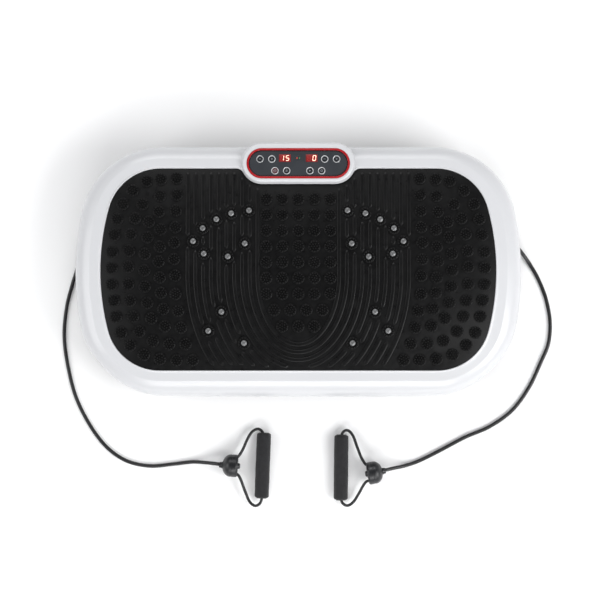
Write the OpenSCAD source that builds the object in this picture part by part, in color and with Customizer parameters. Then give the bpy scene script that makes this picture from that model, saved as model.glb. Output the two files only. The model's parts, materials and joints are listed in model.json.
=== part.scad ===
// Vibration plate: a rocking deck under a soft-cornered shell, a console pod at the back,
// and two resistance cords with foam grips lying on the floor.
// Millimetres. X runs across the plate, Y from the front to the console, Z up.
// The origin is on the floor, under the middle of the plate.

/* [Shell] */
// Overall width of the shell
shell_w = 760; // [752:1:768]
// Depth of the shell without the console pod
shell_d = 424; // [421:1:427]
// Height of the deck surface under the mat
deck_z = 128; // [127.5:0.1:128.5]
// Height of the skirt's lower edge
skirt_z = 58; // [56:1:60]
// Thickness of the deck panel of the shell
deck_t = 3.5; // [3:0.1:4]

/* [Mat] */
// Width of the rubber mat
mat_w = 666; // [660:1:668]
// Depth of the rubber mat
mat_d = 341; // [338:0.1:343]
// Thickness of the mat without its relief
mat_t = 3; // [2.6:0.1:3.2]
// Height of the ridges above the mat
ridge_h = 1.6; // [1:0.1:2]
// Number of ridges on each side
ridge_count = 10; // [8:1:10]
// Diameter of a foot-zone nub
nub_d = 21; // [19:0.5:22]
// Height of a nub above the mat
nub_h = 3.4; // [2.5:0.1:4]
// Diameter of a silver massage stud
stud_d = 10; // [9:0.5:11]

/* [Console] */
// Distance of the console's middle behind the plate's middle
console_y = 178; // [177:0.5:179]
// Length of the red trim ring
ring_l = 174; // [172:0.5:175]
// Width of the red trim ring across its flat sides
ring_w = 51; // [50.5:0.1:51.5]
// Height of the pod's top face
pod_z = 139.6; // [139.4:0.1:139.8]
// Travel of a push button
button_travel = 0.8; // [0.5:0.1:0.8]

/* [Base] */
// Width of the base pan
base_w = 704; // [696:1:706]
// Depth of the base pan
base_d = 364; // [360:1:366]
// Height of the base pan's rim
base_top = 84; // [82:1:85]
// Height of the suction feet
foot_h = 14; // [13.5:0.1:14.5]
// Diameter of the suction feet
foot_d = 51; // [46:1:54]

/* [Drive] */
// Height of the rocking axis
pivot_z = 88; // [87.5:0.1:88.5]
// Diameter of the rocking shaft
pivot_d = 16; // [15:0.5:17]
// Distance of the crank from the rocking axis
crank_x = 110; // [109:0.5:111]
// Height of the crank shaft
crank_z = 50; // [49.5:0.1:50.5]
// Diameter of the crank shaft
crank_d = 15; // [14:0.5:15]
// Throw of the eccentric
throw = 2.9; // [2.5:0.1:2.9]
// Distance of the motor from the rocking axis
motor_x = 215; // [213:1:217]
// Height of the motor shaft
motor_z = 58; // [57.5:0.5:58.5]
// Diameter of the motor
motor_d = 70; // [66:1:70]
// Pitch radius of the pulley on the crank
big_pulley_r = 25.5; // [25:0.5:25.5]
// Pitch radius of the pulley on the motor
small_pulley_r = 8.5; // [8:0.5:9]

/* [Cords] */
// Diameter of the resistance cords
cord_d = 6.4; // [6:0.1:7]
// Diameter of the loops through the grips
loop_d = 5; // [4.6:0.1:5.2]
// Length of a foam grip
grip_l = 112; // [108:1:114]
// Diameter of a foam grip
grip_d = 25; // [24:0.5:26]

/* [Hidden] */
$fn = 48;

// Outlines: half width, half depth, radius of the bowed sides, radius of the corners
mat_line = [mat_w / 2, mat_d / 2, 400, 90];
rim_line = [shell_w / 2, shell_d / 2, 525, 140];
base_line = [base_w / 2, base_d / 2, 525, 118];
side_steps = 3;
corner_steps = 8;
edge_steps = 5;

// Rim section from the mat's edge (0) to the widest line of the skirt (1), with heights
// above the deck, first outside and then back along the inside
rim_out = [[0, 0], [0, 4], [0.03, 4.8], [0.07, 3.8], [0.42, 2], [0.66, -3], [0.85, -11.5],
           [0.95, -22], [1, -38], [0.99, -54]];
rim_in = [[0.93, -54], [0.94, -39], [0.89, -25], [0.79, -15], [0.62, -7], [0.4, -2]];
skirt_out = 0.97;
skirt_in = 0.91;
apron_w = 240;
apron_out = 2;

// Console
pod_r = 33.4;
pod_half = 61.7;
pod_y = console_y + 1.4;
panel_z = pod_z - 3.2;
panel_t = 1.8;
ring_r = ring_w / 2;
ring_half = ring_l / 2 - ring_r;
ring_band = 3.5;
ring_t = 2.2;
opening_r = 21;
board_z = 126.4;
board_t = 1.6;
switch_h = 2.3;
button_r = 4.8;
button_gap = 0.15;
upper_row = 7.3;
lower_row = -12.5;
window_row = 9;
window_x = 22.6;
window_w = 20;
window_d = 13;
button_places = [[-64.5, upper_row], [-44.5, upper_row], [44.5, upper_row], [64.5, upper_row],
                 [-39.3, lower_row], [-19.6, lower_row], [19.6, lower_row], [39.3, lower_row]];

// Platform
frame_z = 112;
frame_t = 3;
frame_half = [285, 135];
boss_places = [for (x = [-270, -140, 140, 270], y = [-108, 108]) [x, y]];
rod_offset = throw;
lug_y = 125;

// Base
floor_t = 3;
wall_t = 3;
plate_z = foot_h + floor_t;
plate_t = 3;
top_of_plate = plate_z + plate_t;
foot_places = [for (x = [-262, 262], y = [-112, 112]) [x, y]];
bumper_places = [for (x = [-272, 272], y = [-70, 70]) [x, y]];
bumper_h = 76;
block_y = 100;
crank_block_y = 28;
bearing_r = 17.5;
run_gap = 0.05;
inlet = [-170, 38];
rocker = [-115, 38];
belt_gap = 0.35;
belt_t = 2;
belt_w = 9;
belt_y = -61;

// Cord routes, chosen by hand: out of the anchor, down to the floor, round the plate and up
// into the stopper; the loops leave a stopper's face and run through the grip's tube
left_route = [[-368, 60, 28], [-376, 50, 26], [-383, 33, 18], [-390, 8, 8], [-399, -20, 3.2],
              [-408, -58, 3.2], [-412, -106, 3.2], [-406, -156, 3.2], [-391, -214, 3.2],
              [-366, -264, 3.2], [-336, -303, 3.2], [-301, -327, 3.2], [-261, -336, 3.2],
              [-221, -333, 3.2], [-186, -329, 4.5], [-160, -330, 11], [-138, -332, 18.8]];
right_route = [[368, 60, 28], [377, 52, 26.5], [388, 43, 18], [398, 32, 9], [409, 17, 4],
               [423, -8, 3.2], [436, -42, 3.2], [443, -82, 3.2], [440, -121, 3.2],
               [426, -155, 3.2], [406, -197, 3.2], [376, -238, 3.2], [336, -267, 3.2],
               [292, -286, 3.2], [252, -307, 3.2], [214, -326, 3.2], [188, -335, 5.5],
               [168, -339, 12], [151, -342.5, 19]];
left_loop_route = [[-109, -321.5, 19.5], [-104, -320, 19.5], [-97, -308, 17.5],
                   [-88, -288, 14.5], [-80, -276, 13], [-70, -271, 13], [-61.5, -276, 13],
                   [-60.2, -288, 13], [-62, -338, 13],
                   [-63.8, -388, 13], [-66, -400, 13], [-75, -405, 13], [-85, -396, 13],
                   [-93, -377, 14.5], [-100, -358, 17.5], [-105, -349, 19.5],
                   [-110.5, -347.5, 19.5]];
right_loop_route = [[122.5, -335, 19.5], [118, -334, 19.5], [110, -323, 17.5],
                    [102, -302, 14.5], [94, -283, 13], [85, -273, 13], [76.5, -276, 13],
                    [75.2, -288, 13], [74.6, -338, 13],
                    [74, -388, 13], [76, -401, 13], [85, -406, 13], [96, -399, 13],
                    [105, -384, 14.5], [113, -368, 17.5], [118, -361, 19.5],
                    [124.5, -360, 19.5]];
stopper_r = 19.5;
left_stopper = [-118, -334.5, -4];
right_stopper = [132.5, -346.5, 190];
left_grip = [-62, -334.5, 2.1];
right_grip = [74.6, -338, 0.7];
grip_z = 13;

// ---------------------------------------------------------------- outlines and sweeps

// One quarter of a soft-cornered outline, from the side's middle to the back's middle
function corner_x(o) = o[0] - o[2] + sqrt(pow(o[2] - o[3], 2) - pow(o[1] - o[3], 2));
function side_angle(o) = atan2(o[1] - o[3], corner_x(o) - o[0] + o[2]);
function quarter(o) = let (cx = corner_x(o), cy = o[1] - o[3], s = side_angle(o)) concat(
    [for (i = [0:side_steps - 1]) let (a = s * i / side_steps)
        [o[0] - o[2] + o[2] * cos(a), o[2] * sin(a)]],
    [for (i = [0:corner_steps]) let (a = s + (90 - s) * i / corner_steps)
        [cx + o[3] * cos(a), cy + o[3] * sin(a)]],
    [for (i = [1:edge_steps]) [cx * (1 - i / edge_steps), o[1]]]);
function outline(o) = let (q = quarter(o), n = len(q)) concat(
    q,
    [for (i = [n - 2:-1:0]) [-q[i].x, q[i].y]],
    [for (i = [1:n - 1]) [-q[i].x, -q[i].y]],
    [for (i = [n - 2:-1:1]) [q[i].x, -q[i].y]]);

// The outline at a place u across the rim, 0 at the mat and 1 at the widest line
function rim_at(u) = mat_line + (rim_line - mat_line) * u;
function inset(o, d) = [o[0] - d, o[1] - d, o[2] - d, o[3] - d];

// The apron pushes the front of the skirt out a little in the middle
function apron(p, u) = p.y > 0 || u < 0.7 || abs(p.x) > apron_w ? 0
    : apron_out * (u - 0.7) / 0.3 * (1 - pow(p.x / apron_w, 4));
function rim_ring(u, z) = [for (p = outline(rim_at(u))) [p.x, p.y - apron(p, u), z]];

// A closed solid from rings of points, each ring counter-clockwise from above
module loft(rings) {
    n = len(rings[0]);
    points = [for (r = rings, p = r) p];
    sides = [for (i = [0:len(rings) - 2], j = [0:n - 1], half = [0, 1])
        let (a = i * n + j, b = i * n + (j + 1) % n)
        half == 0 ? [a, b, b + n] : [a, b + n, a + n]];
    last = (len(rings) - 1) * n;
    polyhedron(points, concat([[for (j = [n - 1:-1:0]) j]], sides,
                              [[for (j = [0:n - 1]) last + j]]));
}

// A smooth path through a route's points, with one extra point in each span
function spline(a, b, c, d, t) = (2 * b + (c - a) * t + (2 * a - 5 * b + 4 * c - d) * t * t
    + (3 * b - a - 3 * c + d) * t * t * t) / 2;
function smooth(r) = let (n = len(r)) concat(
    [for (i = [0:n - 2], t = [0, 0.5])
        spline(r[max(i - 1, 0)], r[i], r[i + 1], r[min(i + 2, n - 1)], t)],
    [r[n - 1]]);

// A path with no point lower than a height
function above(path, low) = [for (p = path) [p.x, p.y, max(p.z, low)]];

// A tube along a path; its section stays square to the path
module tube(path, r, sides = 8) {
    n = len(path);
    function ahead(i) = path[min(i + 1, n - 1)] - path[max(i - 1, 0)];
    rings = [for (i = [0:n - 1])
        let (t = ahead(i) / norm(ahead(i)), s = cross(t, [0, 0, 1]) / norm(cross(t, [0, 0, 1])),
             u = cross(s, t))
        [for (j = [0:sides - 1]) let (a = 360 * (j + 0.5) / sides)
            path[i] + r * (cos(a) * s - sin(a) * u)]];
    loft(rings);
}

module slab(o, z, h) translate([0, 0, z]) linear_extrude(h) polygon(outline(o));
module along_y(x, y, z, r, h) translate([x, y, z]) rotate([-90, 0, 0]) cylinder(h = h, r = r);
module pipe_y(x, y, z, r_out, r_in, h) difference() {
    along_y(x, y, z, r_out, h);
    along_y(x, y - 1, z, r_in, h + 2);
}
module block(x, y, z, size) translate([x - size.x / 2, y - size.y / 2, z]) cube(size);
module pill_2d(half, r) hull() for (x = [-half, half]) translate([x, 0]) circle(r);
module pill(half, r, z, h) translate([0, console_y, z]) linear_extrude(h) pill_2d(half, r);

// ---------------------------------------------------------------- platform

// Where the pod bites into the mat, with rounded shoulders at the mat's back edge
module notch_2d(gap = 0) offset(r = -14) offset(r = 14) {
    translate([0, pod_y]) pill_2d(pod_half, pod_r + 1.7 + gap);
    translate([-180, mat_d / 2 - gap]) square([360, 60]);
}

module pod_layer(r0, z0, r1, z1) hull() for (x = [-pod_half, pod_half])
    translate([x, pod_y, z0]) cylinder(h = z1 - z0, r1 = r0, r2 = r1, $fn = 32);

module pod_wing(side) hull() {
    translate([side * pod_half, pod_y, deck_z]) cylinder(h = 8.5, r1 = 33, r2 = 31, $fn = 32);
    translate([side * 112, console_y - 1, deck_z - 2]) cylinder(h = 4.5, r1 = 6, r2 = 3, $fn = 16);
}

// The pod's rear wall swells a little as it runs down over the rim
module pod_back() intersection() {
    difference() {
        union() {
            pod_layer(32, deck_z - 46, 37.2, deck_z - 30);
            pod_layer(37.2, deck_z - 30, 36.8, deck_z - 16);
            pod_layer(36.8, deck_z - 16, pod_r + 1.7, deck_z - 2.5);
        }
        pod_layer(29.5, deck_z - 47, 30, deck_z);
    }
    translate([-120, console_y + 16, 0]) cube([240, 40, deck_z]);
}

module top_cover() color("white") union() {
    difference() {
        union() {
            loft(concat(
                [for (p = rim_out) rim_ring(p[0], deck_z + p[1])],
                [rim_ring(skirt_out, skirt_z), rim_ring(skirt_in, skirt_z)],
                [for (p = rim_in) rim_ring(p[0], deck_z + p[1])],
                [rim_ring(0, deck_z - deck_t)]));
            intersection() {
                translate([0, 0, deck_z - 2]) linear_extrude(5.9) notch_2d();
                translate([-125, 138, 0]) cube([250, 50, deck_z + 10]);
            }
            pod_layer(pod_r + 1.7, deck_z - 2.5, pod_r + 0.6, pod_z - 5);
            pod_layer(pod_r + 0.6, pod_z - 5, pod_r - 0.6, pod_z - 1.6);
            pod_layer(pod_r - 0.6, pod_z - 1.6, pod_r - 2.6, pod_z);
            intersection() {
                for (side = [-1, 1]) pod_wing(side);
                translate([0, 0, deck_z - 2]) linear_extrude(12) notch_2d();
            }
            pod_back();
        }
        hull() for (x = [-ring_half, ring_half]) translate([x, console_y, panel_z])
            cylinder(h = 10, r = ring_r + 0.15, $fn = 32);
        hull() for (x = [-ring_half, ring_half]) translate([x, console_y, deck_z - 10])
            cylinder(h = 30, r = opening_r, $fn = 32);
        hull() for (x = [-ring_half, ring_half]) translate([x, console_y, deck_z - 10])
            cylinder(h = panel_z - 2.6 - deck_z + 10, r = 30, $fn = 32);
    }
    for (p = boss_places) translate([p.x, p.y, frame_z + frame_t])
        cylinder(h = deck_z - deck_t - frame_z - frame_t + 1, r = 6, $fn = 20);
    for (x = [-ring_half, ring_half], y = [-24.5, 24.5])
        hull() for (out = [0, 4]) translate([x, console_y + y + sign(y) * out, board_z + board_t])
            cylinder(h = panel_z - 1 - board_z - board_t, r = 2.6, $fn = 16);
}

// U-shaped ridges: straight from the back, then round the front in a half ellipse
module u_line(a) polygon(concat(
    [[a, 175], [a, -10]],
    [for (t = [-7.5:-7.5:-172.5]) [a * cos(t), -10 + (a + 48) * sin(t)]],
    [[-a, -10], [-a, 175]]));
ridge_x = 68.7;
ridge_pitch = 13.07;
ridge_w = 7;
module ridges_2d() for (i = [0:ridge_count - 1]) let (a = ridge_x + ridge_pitch * i)
    difference() {
        u_line(a + ridge_w / 2);
        u_line(a - ridge_w / 2);
    }

// Foot-zone nubs: a grid in the middle, and strings that follow the outline on each side
centre_nubs = concat(
    [for (x = [-54:27:54], row = [0:6]) [x, 118.8 - 26.75 * row]],
    [for (x = [-40.5:27:40.5]) [x, -68.8]],
    [for (x = [-27:27:27]) [x, -96.2]]);
side_nubs = [
    [205, 154], [232, 152], [255.5, 149], [279.5, 133], [296, 110], [305, 84.6], [310, 58],
    [313.4, 29], [314, 2], [313.4, -26], [310, -53], [306, -80], [297.5, -107], [282, -128],
    [259, -144], [232, -151], [204, -153], [177, -153], [262.5, 110], [275, 86], [282, 59],
    [285, 31], [286, 4], [286, -25], [282.6, -53], [277.6, -80], [267, -105], [244, -121],
    [216.5, -126], [189, -126], [252, 80], [254, 54], [258.5, 26], [259, -2], [258, -29],
    [254, -57], [247, -83], [224, -96], [197, -98.5], [233, 124], [235, 97], [232, 67],
    [233, 38], [235, 13], [233, -14], [231, -40], [227, -67], [205, 126], [206.5, 99],
    [207, 71], [209, 45], [209, 17], [207, -11], [206.5, -42], [202, -70.5]];
side_studs = [[83, 99], [113, 94], [138, 84], [161, 69], [177, 47], [159, 26], [118.5, 21],
              [90, 43], [129, -72], [151, -104], [91, -124.5]];
function both_sides(places) = [for (s = [-1, 1], p = places) [s * p.x, p.y]];

module rubber_mat() color("#1c1c1e") difference() {
    union() {
        translate([0, 0, deck_z]) linear_extrude(mat_t) difference() {
            offset(r = -0.4) polygon(outline(mat_line));
            notch_2d(0.4);
        }
        translate([0, 0, deck_z + mat_t]) linear_extrude(ridge_h) difference() {
            intersection() {
                ridges_2d();
                offset(r = -6) polygon(outline(mat_line));
            }
            notch_2d(4);
            for (p = both_sides(side_studs)) translate(p) circle(nub_d / 2);
        }
        for (p = concat(centre_nubs, both_sides(side_nubs), both_sides(side_studs)))
            translate([p.x, p.y, deck_z + mat_t]) cylinder(h = nub_h, d = nub_d, $fn = 24);
    }
    for (p = both_sides(side_studs)) translate([p.x, p.y, deck_z + mat_t + nub_h - 2])
        cylinder(h = 3, d = stud_d);
}

module magnet_studs() color("silver") for (p = both_sides(side_studs))
    translate([p.x, p.y, deck_z + mat_t + nub_h - 2]) rotate_extrude() polygon(concat(
        [[0, 0], [stud_d / 2, 0]],
        [for (a = [0:15:90]) [stud_d / 2 * cos(a), 2 + 2.4 * sin(a)]]));

module deck_board() color("burlywood") difference() {
    translate([-300, -139, frame_z + frame_t])
        cube([600, 278, deck_z - deck_t - frame_z - frame_t]);
    for (p = boss_places) translate([p.x, p.y, frame_z]) cylinder(h = 20, r = 6.5);
    for (sx = [-1, 1], sy = [-1, 1]) translate([sx * 300, sy * 139, frame_z])
        rotate([0, 0, 45]) translate([-28, -28, 0]) cube([56, 56, 20]);
}

module platform_frame() color("dimgray") difference() {
    union() {
        block(0, 0, frame_z, [2 * frame_half.x, 2 * frame_half.y, frame_t]);
        for (s = [-1, 1]) block(0, s * (frame_half.y - 1.5), frame_z - 8,
                                [2 * frame_half.x, 3, 8]);
        for (s = [-1, 1]) block(0, s * lug_y, 74, [44, 6, frame_z - 74]);
        for (s = [-1, 1]) block(crank_x, s * 11.5, 77, [26, 5, frame_z - 77]);
    }
    for (p = boss_places) translate([p.x, p.y, frame_z - 1]) cylinder(h = 8, r = 2.75);
    for (s = [-1, 1]) along_y(0, s * lug_y - 5, pivot_z, pivot_d / 2, 10);
    along_y(crank_x, -20, pivot_z, 5, 40);
    for (sx = [-1, 1], sy = [-1, 1]) translate([sx * 200, sy * 60, frame_z - 1])
        cylinder(h = 8, r = 22);
}

module pivot_shaft() color("silver") union() {
    along_y(0, -lug_y - 8, pivot_z, pivot_d / 2, 2 * lug_y + 16);
    for (s = [-1, 1]) pipe_y(0, s * (lug_y - 10) - 2, pivot_z, pivot_d / 2 + 3,
                             pivot_d / 2 - 1, 4);
}

module link_pin() color("silver") union() {
    along_y(crank_x, -16, pivot_z, 5, 34);
    along_y(crank_x, 14, pivot_z, 8, 4);
    along_y(crank_x, -16.5, pivot_z, 6.5, 2);
}

module platform_fasteners() color("silver") for (p = boss_places)
    translate([p.x, p.y, 0]) union() {
        translate([0, 0, frame_z - 3.2]) cylinder(h = 3.2, r1 = 3.6, r2 = 4.8);
        translate([0, 0, frame_z - 1]) cylinder(h = 10, r = 2.5);
    }

// ---------------------------------------------------------------- console

module console_panel() color("#2c3138") difference() {
    pill(ring_half, ring_r - 0.1, panel_z, panel_t);
    for (p = button_places) translate([p.x, console_y + p.y, panel_z - 1])
        cylinder(h = 5, r = button_r + button_gap);
    for (s = [-1, 1]) block(s * window_x, console_y + window_row, panel_z - 1,
                            [window_w, window_d, 5]);
    block(0, console_y + window_row, panel_z - 1, [9, 7, 5]);
}

module trim_ring() color("#9c1418") difference() {
    pill(ring_half, ring_r, panel_z + panel_t, ring_t);
    pill(ring_half, ring_r - ring_band, panel_z, 10);
}

module display_lenses() color("#4a0c10") {
    for (s = [-1, 1]) block(s * window_x, console_y + window_row, panel_z + 0.3,
                            [window_w, window_d, panel_t]);
    block(0, console_y + window_row, panel_z + 0.3, [9, 7, panel_t]);
}

module digit_displays() color("black") for (s = [-1, 1])
    block(s * window_x, console_y + window_row, board_z + board_t,
          [19, 12.4, panel_z - board_z - board_t]);

module status_leds() for (s = [-1, 1]) color(s < 0 ? "red" : "green")
    translate([s * 2, console_y + window_row, board_z + board_t])
        cylinder(h = panel_z - board_z - board_t, r = 1.5);

module button_rings() color("silver") for (p = button_places)
    translate([p.x, console_y + p.y, panel_z + panel_t]) difference() {
        cylinder(h = 0.9, r1 = 6.3, r2 = 6);
        translate([0, 0, -1]) cylinder(h = 3, r = button_r + button_gap);
    }

module console_board() color("darkgreen") pill(ring_half, 28.4, board_z, board_t);

module tact_switches() color("black") for (p = button_places)
    translate([p.x, console_y + p.y, board_z + board_t]) union() {
        block(0, 0, 0, [6, 6, switch_h - 0.8]);
        cylinder(h = switch_h, r = 1.7);
    }

// A push button: cap, and a collar that keeps it under the panel
module push_button(i) color("#30343a") translate([button_places[i].x,
                                                  console_y + button_places[i].y, 0]) {
    foot = board_z + board_t + switch_h + button_travel + 0.1;
    union() {
        translate([0, 0, foot]) cylinder(h = panel_z + panel_t + 1 - foot, r = button_r - 0.6);
        translate([0, 0, panel_z - 1.4]) cylinder(h = 1.2, r = 6);
        translate([0, 0, panel_z - 0.4]) cylinder(h = panel_t + 1.2, r = button_r);
        translate([0, 0, panel_z + panel_t + 0.8]) cylinder(h = 0.5, r1 = button_r, r2 = 4.2);
    }
}
module time_down_button() push_button(0);
module time_up_button() push_button(1);
module speed_down_button() push_button(2);
module speed_up_button() push_button(3);
module power_button() push_button(4);
module mode_button() push_button(5);
module manual_button() push_button(6);
module auto_button() push_button(7);

// ---------------------------------------------------------------- base

module bottom_case() color("#3a3b3e") difference() {
    slab(base_line, foot_h, base_top - foot_h);
    slab(inset(base_line, wall_t), plate_z, base_top);
    for (p = foot_places) translate([p.x, p.y, 0]) cylinder(h = 40, r = 3.1);
    block(inlet.x, base_d / 2, inlet.y - 10.2, [28.4, 20, 20.4]);
    block(rocker.x, base_d / 2, rocker.y - 7.2, [20.4, 20, 14.4]);
    for (x = [60:14:200]) block(x, base_d / 2, 30, [6, 20, 34]);
}

module chassis_plate() color("gray") difference() {
    block(0, 0, plate_z, [560, 270, plate_t]);
    for (p = foot_places) translate([p.x, p.y, 0]) cylinder(h = 40, r = 3.1);
    for (x = [-60, 60], y = [-60, 60]) translate([x, y, plate_z - 1]) cylinder(h = 8, r = 15);
}

module suction_feet() color("#26272a") for (p = foot_places) translate([p.x, p.y, 0])
    rotate_extrude() polygon([[3, 4.5], [16, 3.4], [21, 1.4], [23.2, 0], [foot_d / 2, 0],
        [foot_d / 2, 0.8], [22.5, 4.6], [15.5, 8], [14, 9.5], [13.5, foot_h], [3, foot_h]]);

module foot_bolts() color("silver") for (p = foot_places) translate([p.x, p.y, 0]) union() {
    translate([0, 0, 5]) cylinder(h = top_of_plate - 4, r = 3);
    translate([0, 0, top_of_plate]) cylinder(h = 4, r = 5.8, $fn = 6);
}

module pillow_blocks() color("slategray") for (s = [-1, 1]) difference() {
    union() {
        block(0, s * block_y, top_of_plate, [90, 20, 8]);
        block(0, s * block_y, top_of_plate, [46, 16, pivot_z - top_of_plate]);
        along_y(0, s * block_y - 8, pivot_z, 21.5, 16);
    }
    along_y(0, s * block_y - 10, pivot_z, bearing_r, 20);
    for (x = [-36, 36]) translate([x, s * block_y, top_of_plate - 1]) cylinder(h = 12, r = 3);
}

module ring_bearing(x, y, z, r_in, w) {
    pipe_y(x, y - w / 2, z, r_in + 2.4, r_in, w);
    pipe_y(x, y - w / 2, z, bearing_r, bearing_r - 2.4, w);
    pipe_y(x, y - w / 2 + 1.2, z, bearing_r - 2.4, r_in + 2.4, w - 2.4);
}

module pivot_bearings() color("silver") for (s = [-1, 1])
    union() ring_bearing(0, s * block_y, pivot_z, pivot_d / 2 + run_gap, 12);

module crank_blocks() color("slategray") for (s = [-1, 1]) difference() {
    union() {
        block(crank_x, s * crank_block_y, top_of_plate, [84, 16, 8]);
        block(crank_x, s * crank_block_y, top_of_plate, [44, 14, crank_z - top_of_plate]);
        along_y(crank_x, s * crank_block_y - 7, crank_z, 21.5, 14);
    }
    along_y(crank_x, s * crank_block_y - 10, crank_z, bearing_r, 20);
    for (x = [-34, 34]) translate([crank_x + x, s * crank_block_y, top_of_plate - 1])
        cylinder(h = 12, r = 3);
}

module crank_bearings() color("silver") for (s = [-1, 1])
    union() ring_bearing(crank_x, s * crank_block_y, crank_z, crank_d / 2 + run_gap, 11);

module motor_body() color("#4b4f55") difference() {
    union() {
        along_y(motor_x, -40, motor_z, motor_d / 2, 110);
        along_y(motor_x, 70, motor_z, 13, 6);
        along_y(motor_x, -46, motor_z, 13, 8);
        block(motor_x, 30, motor_z + motor_d / 2 - 3, [34, 46, 9]);
    }
    along_y(motor_x, -60, motor_z, 5 + run_gap, 150);
    for (a = [0:45:315]) translate([motor_x, 62, motor_z]) rotate([0, a, 0])
        translate([22, 0, 0]) rotate([-90, 0, 0]) cylinder(h = 20, r = 4);
}

module motor_bracket() color("slategray") difference() {
    union() {
        block(motor_x, -43, top_of_plate, [78, 6, 76]);
        block(motor_x, -20, top_of_plate, [78, 46, 2.4]);
    }
    along_y(motor_x, -60, motor_z, 13, 30);
    for (x = [-33, 33]) translate([motor_x + x, -15, top_of_plate - 1]) cylinder(h = 6, r = 2.6);
}

module belt_2d(grow) hull() {
    translate([crank_x, crank_z]) circle(big_pulley_r + grow, $fn = 64);
    translate([motor_x, motor_z]) circle(small_pulley_r + grow, $fn = 64);
}
module drive_belt() color("#202022") translate([0, belt_y + belt_w / 2, 0]) rotate([90, 0, 0])
    linear_extrude(belt_w) difference() {
        belt_2d(belt_gap + belt_t);
        belt_2d(belt_gap);
    }

module controller_board() color("darkgreen") union() {
    block(-190, -60, top_of_plate + 8, [120, 84, 1.6]);
    for (x = [-242, -138], y = [-94, -26]) translate([x, y, top_of_plate])
        cylinder(h = 8.2, r = 3.5);
    block(-215, -40, top_of_plate + 9.5, [46, 16, 28]);
    for (y = [-80, -56]) translate([-160, y, top_of_plate + 9.5]) cylinder(h = 26, r = 9);
    block(-215, -78, top_of_plate + 9.5, [28, 22, 16]);
    block(-150, -32, top_of_plate + 9.5, [20, 10, 10]);
}

module transformer() color("peru") union() {
    block(-198, 60, top_of_plate, [66, 46, 52]);
    block(-198, 60, top_of_plate + 9, [50, 70, 34]);
    block(-198, 60, top_of_plate, [90, 30, 3]);
}

module power_inlet() color("#18181a") difference() {
    union() {
        block(inlet.x, base_d / 2 + 1, inlet.y - 13, [34, 2, 26]);
        block(inlet.x, base_d / 2 - 11, inlet.y - 10, [28, 22, 20]);
        for (x = [-8, 8]) block(inlet.x + x, base_d / 2 - 25, inlet.y - 3, [1, 8, 6]);
    }
    block(inlet.x, base_d / 2 - 4, inlet.y - 8.1, [24.4, 14.5, 16.2]);
}

module inlet_pins() color("goldenrod") {
    for (x = [-7, 7]) block(inlet.x + x, base_d / 2 - 5.25, inlet.y - 4, [2, 12, 4]);
    block(inlet.x, base_d / 2 - 5.25, inlet.y + 2, [2, 12, 4]);
}

module rocker_frame() color("#18181a") difference() {
    union() {
        block(rocker.x, base_d / 2 + 0.75, rocker.y - 9.5, [25, 1.5, 19]);
        block(rocker.x, base_d / 2 - 9, rocker.y - 7, [20, 18, 14]);
        block(rocker.x, base_d / 2 - 13, rocker.y - 9.4, [20, 9, 18.8]);
    }
    translate([rocker.x - 7, base_d / 2 - 5, rocker.y]) rotate([0, 90, 0])
        cylinder(h = 14, r = 8.4);
    block(rocker.x, base_d / 2, rocker.y - 6.6, [14, 12, 13.2]);
    translate([rocker.x - 9, base_d / 2 - 5, rocker.y]) rotate([0, 90, 0])
        cylinder(h = 18, r = 1.5 + run_gap);
}

// The rocker's two faces meet in a shallow vee; it rests with its lower half pressed in
module power_rocker() color("#b01818") translate([rocker.x, base_d / 2 - 5, rocker.y])
    rotate([-9, 0, 0]) union() {
        intersection() {
            translate([-6.6, 0, 0]) rotate([0, 90, 0]) cylinder(h = 13.2, r = 8);
            rotate([45, 0, 0]) translate([-10, -10, -10]) cube([20, 16.2, 16.2]);
            translate([-10, -3, -6.1]) cube([20, 20, 12.2]);
        }
        translate([-8, 0, 0]) rotate([0, 90, 0]) cylinder(h = 16, r = 1.5);
    }

// Rubber buffer columns that soften the deck's ends at the limits of its rocking
module rubber_bumpers() color("#202022") for (p = bumper_places)
    translate([p.x, p.y, top_of_plate]) rotate_extrude() polygon([
        [0, 0], [20, 0], [20, 4], [13, 8], [13, bumper_h - 3], [10, bumper_h], [0, bumper_h]]);

module wiring() color("firebrick") {
    tube([[-178, 149, 38], [-180, 141, 37], [-188, 128, 34], [-196, 112, 33], [-198, 97, 34],
          [-198, 95, 35]], 2);
    tube([[-115, 160, 38], [-116, 150, 37], [-126, 120, 30], [-140, 40, 26], [-146, -5, 30],
          [-150, -22, 34], [-150, -27, 35]], 2);
    tube([[-140, -32, 35], [-132, -32, 34], [-100, -34, 28], [0, -36, 23], [60, -60, 23],
          [120, -86, 23], [180, -86, 23], [257, -56, 33], [258, 10, 30], [250, 30, 50],
          [238, 30, 80], [233, 30, 92]], 2);
}

// Where a cord leaves the base: a flange on the wall and a tapered nose
module cord_anchors() color("#222326") for (s = [-1, 1]) union() {
    block(s * 353.5, 68, 17, [9, 36, 24]);
    translate([s * 352, 76, 28]) rotate([90, 0, s * 45]) cylinder(h = 22.63, r1 = 10, r2 = 6);
}

module base_screws() color("silver") {
    for (s = [-1, 1], x = [-36, 36]) translate([x, s * block_y, top_of_plate + 8])
        cylinder(h = 3, r = 5, $fn = 6);
    for (s = [-1, 1], x = [-34, 34]) translate([crank_x + x, s * crank_block_y, top_of_plate + 8])
        cylinder(h = 3, r = 5, $fn = 6);
    for (s = [-1, 1], y = [54, 82]) translate([s * 358, y, 36]) rotate([0, s * 90, 0])
        cylinder(h = 2, r = 2.6);
    for (x = [-33, 33]) translate([motor_x + x, -15, top_of_plate + 2.4])
        cylinder(h = 2.4, r = 4.6);
}

// ---------------------------------------------------------------- moving drive parts

module crank_shaft() color("silver") union() {
    along_y(crank_x, -72, crank_z, crank_d / 2, 116);
    along_y(crank_x + throw, -6, crank_z, 12.5, 12);
}

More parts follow.
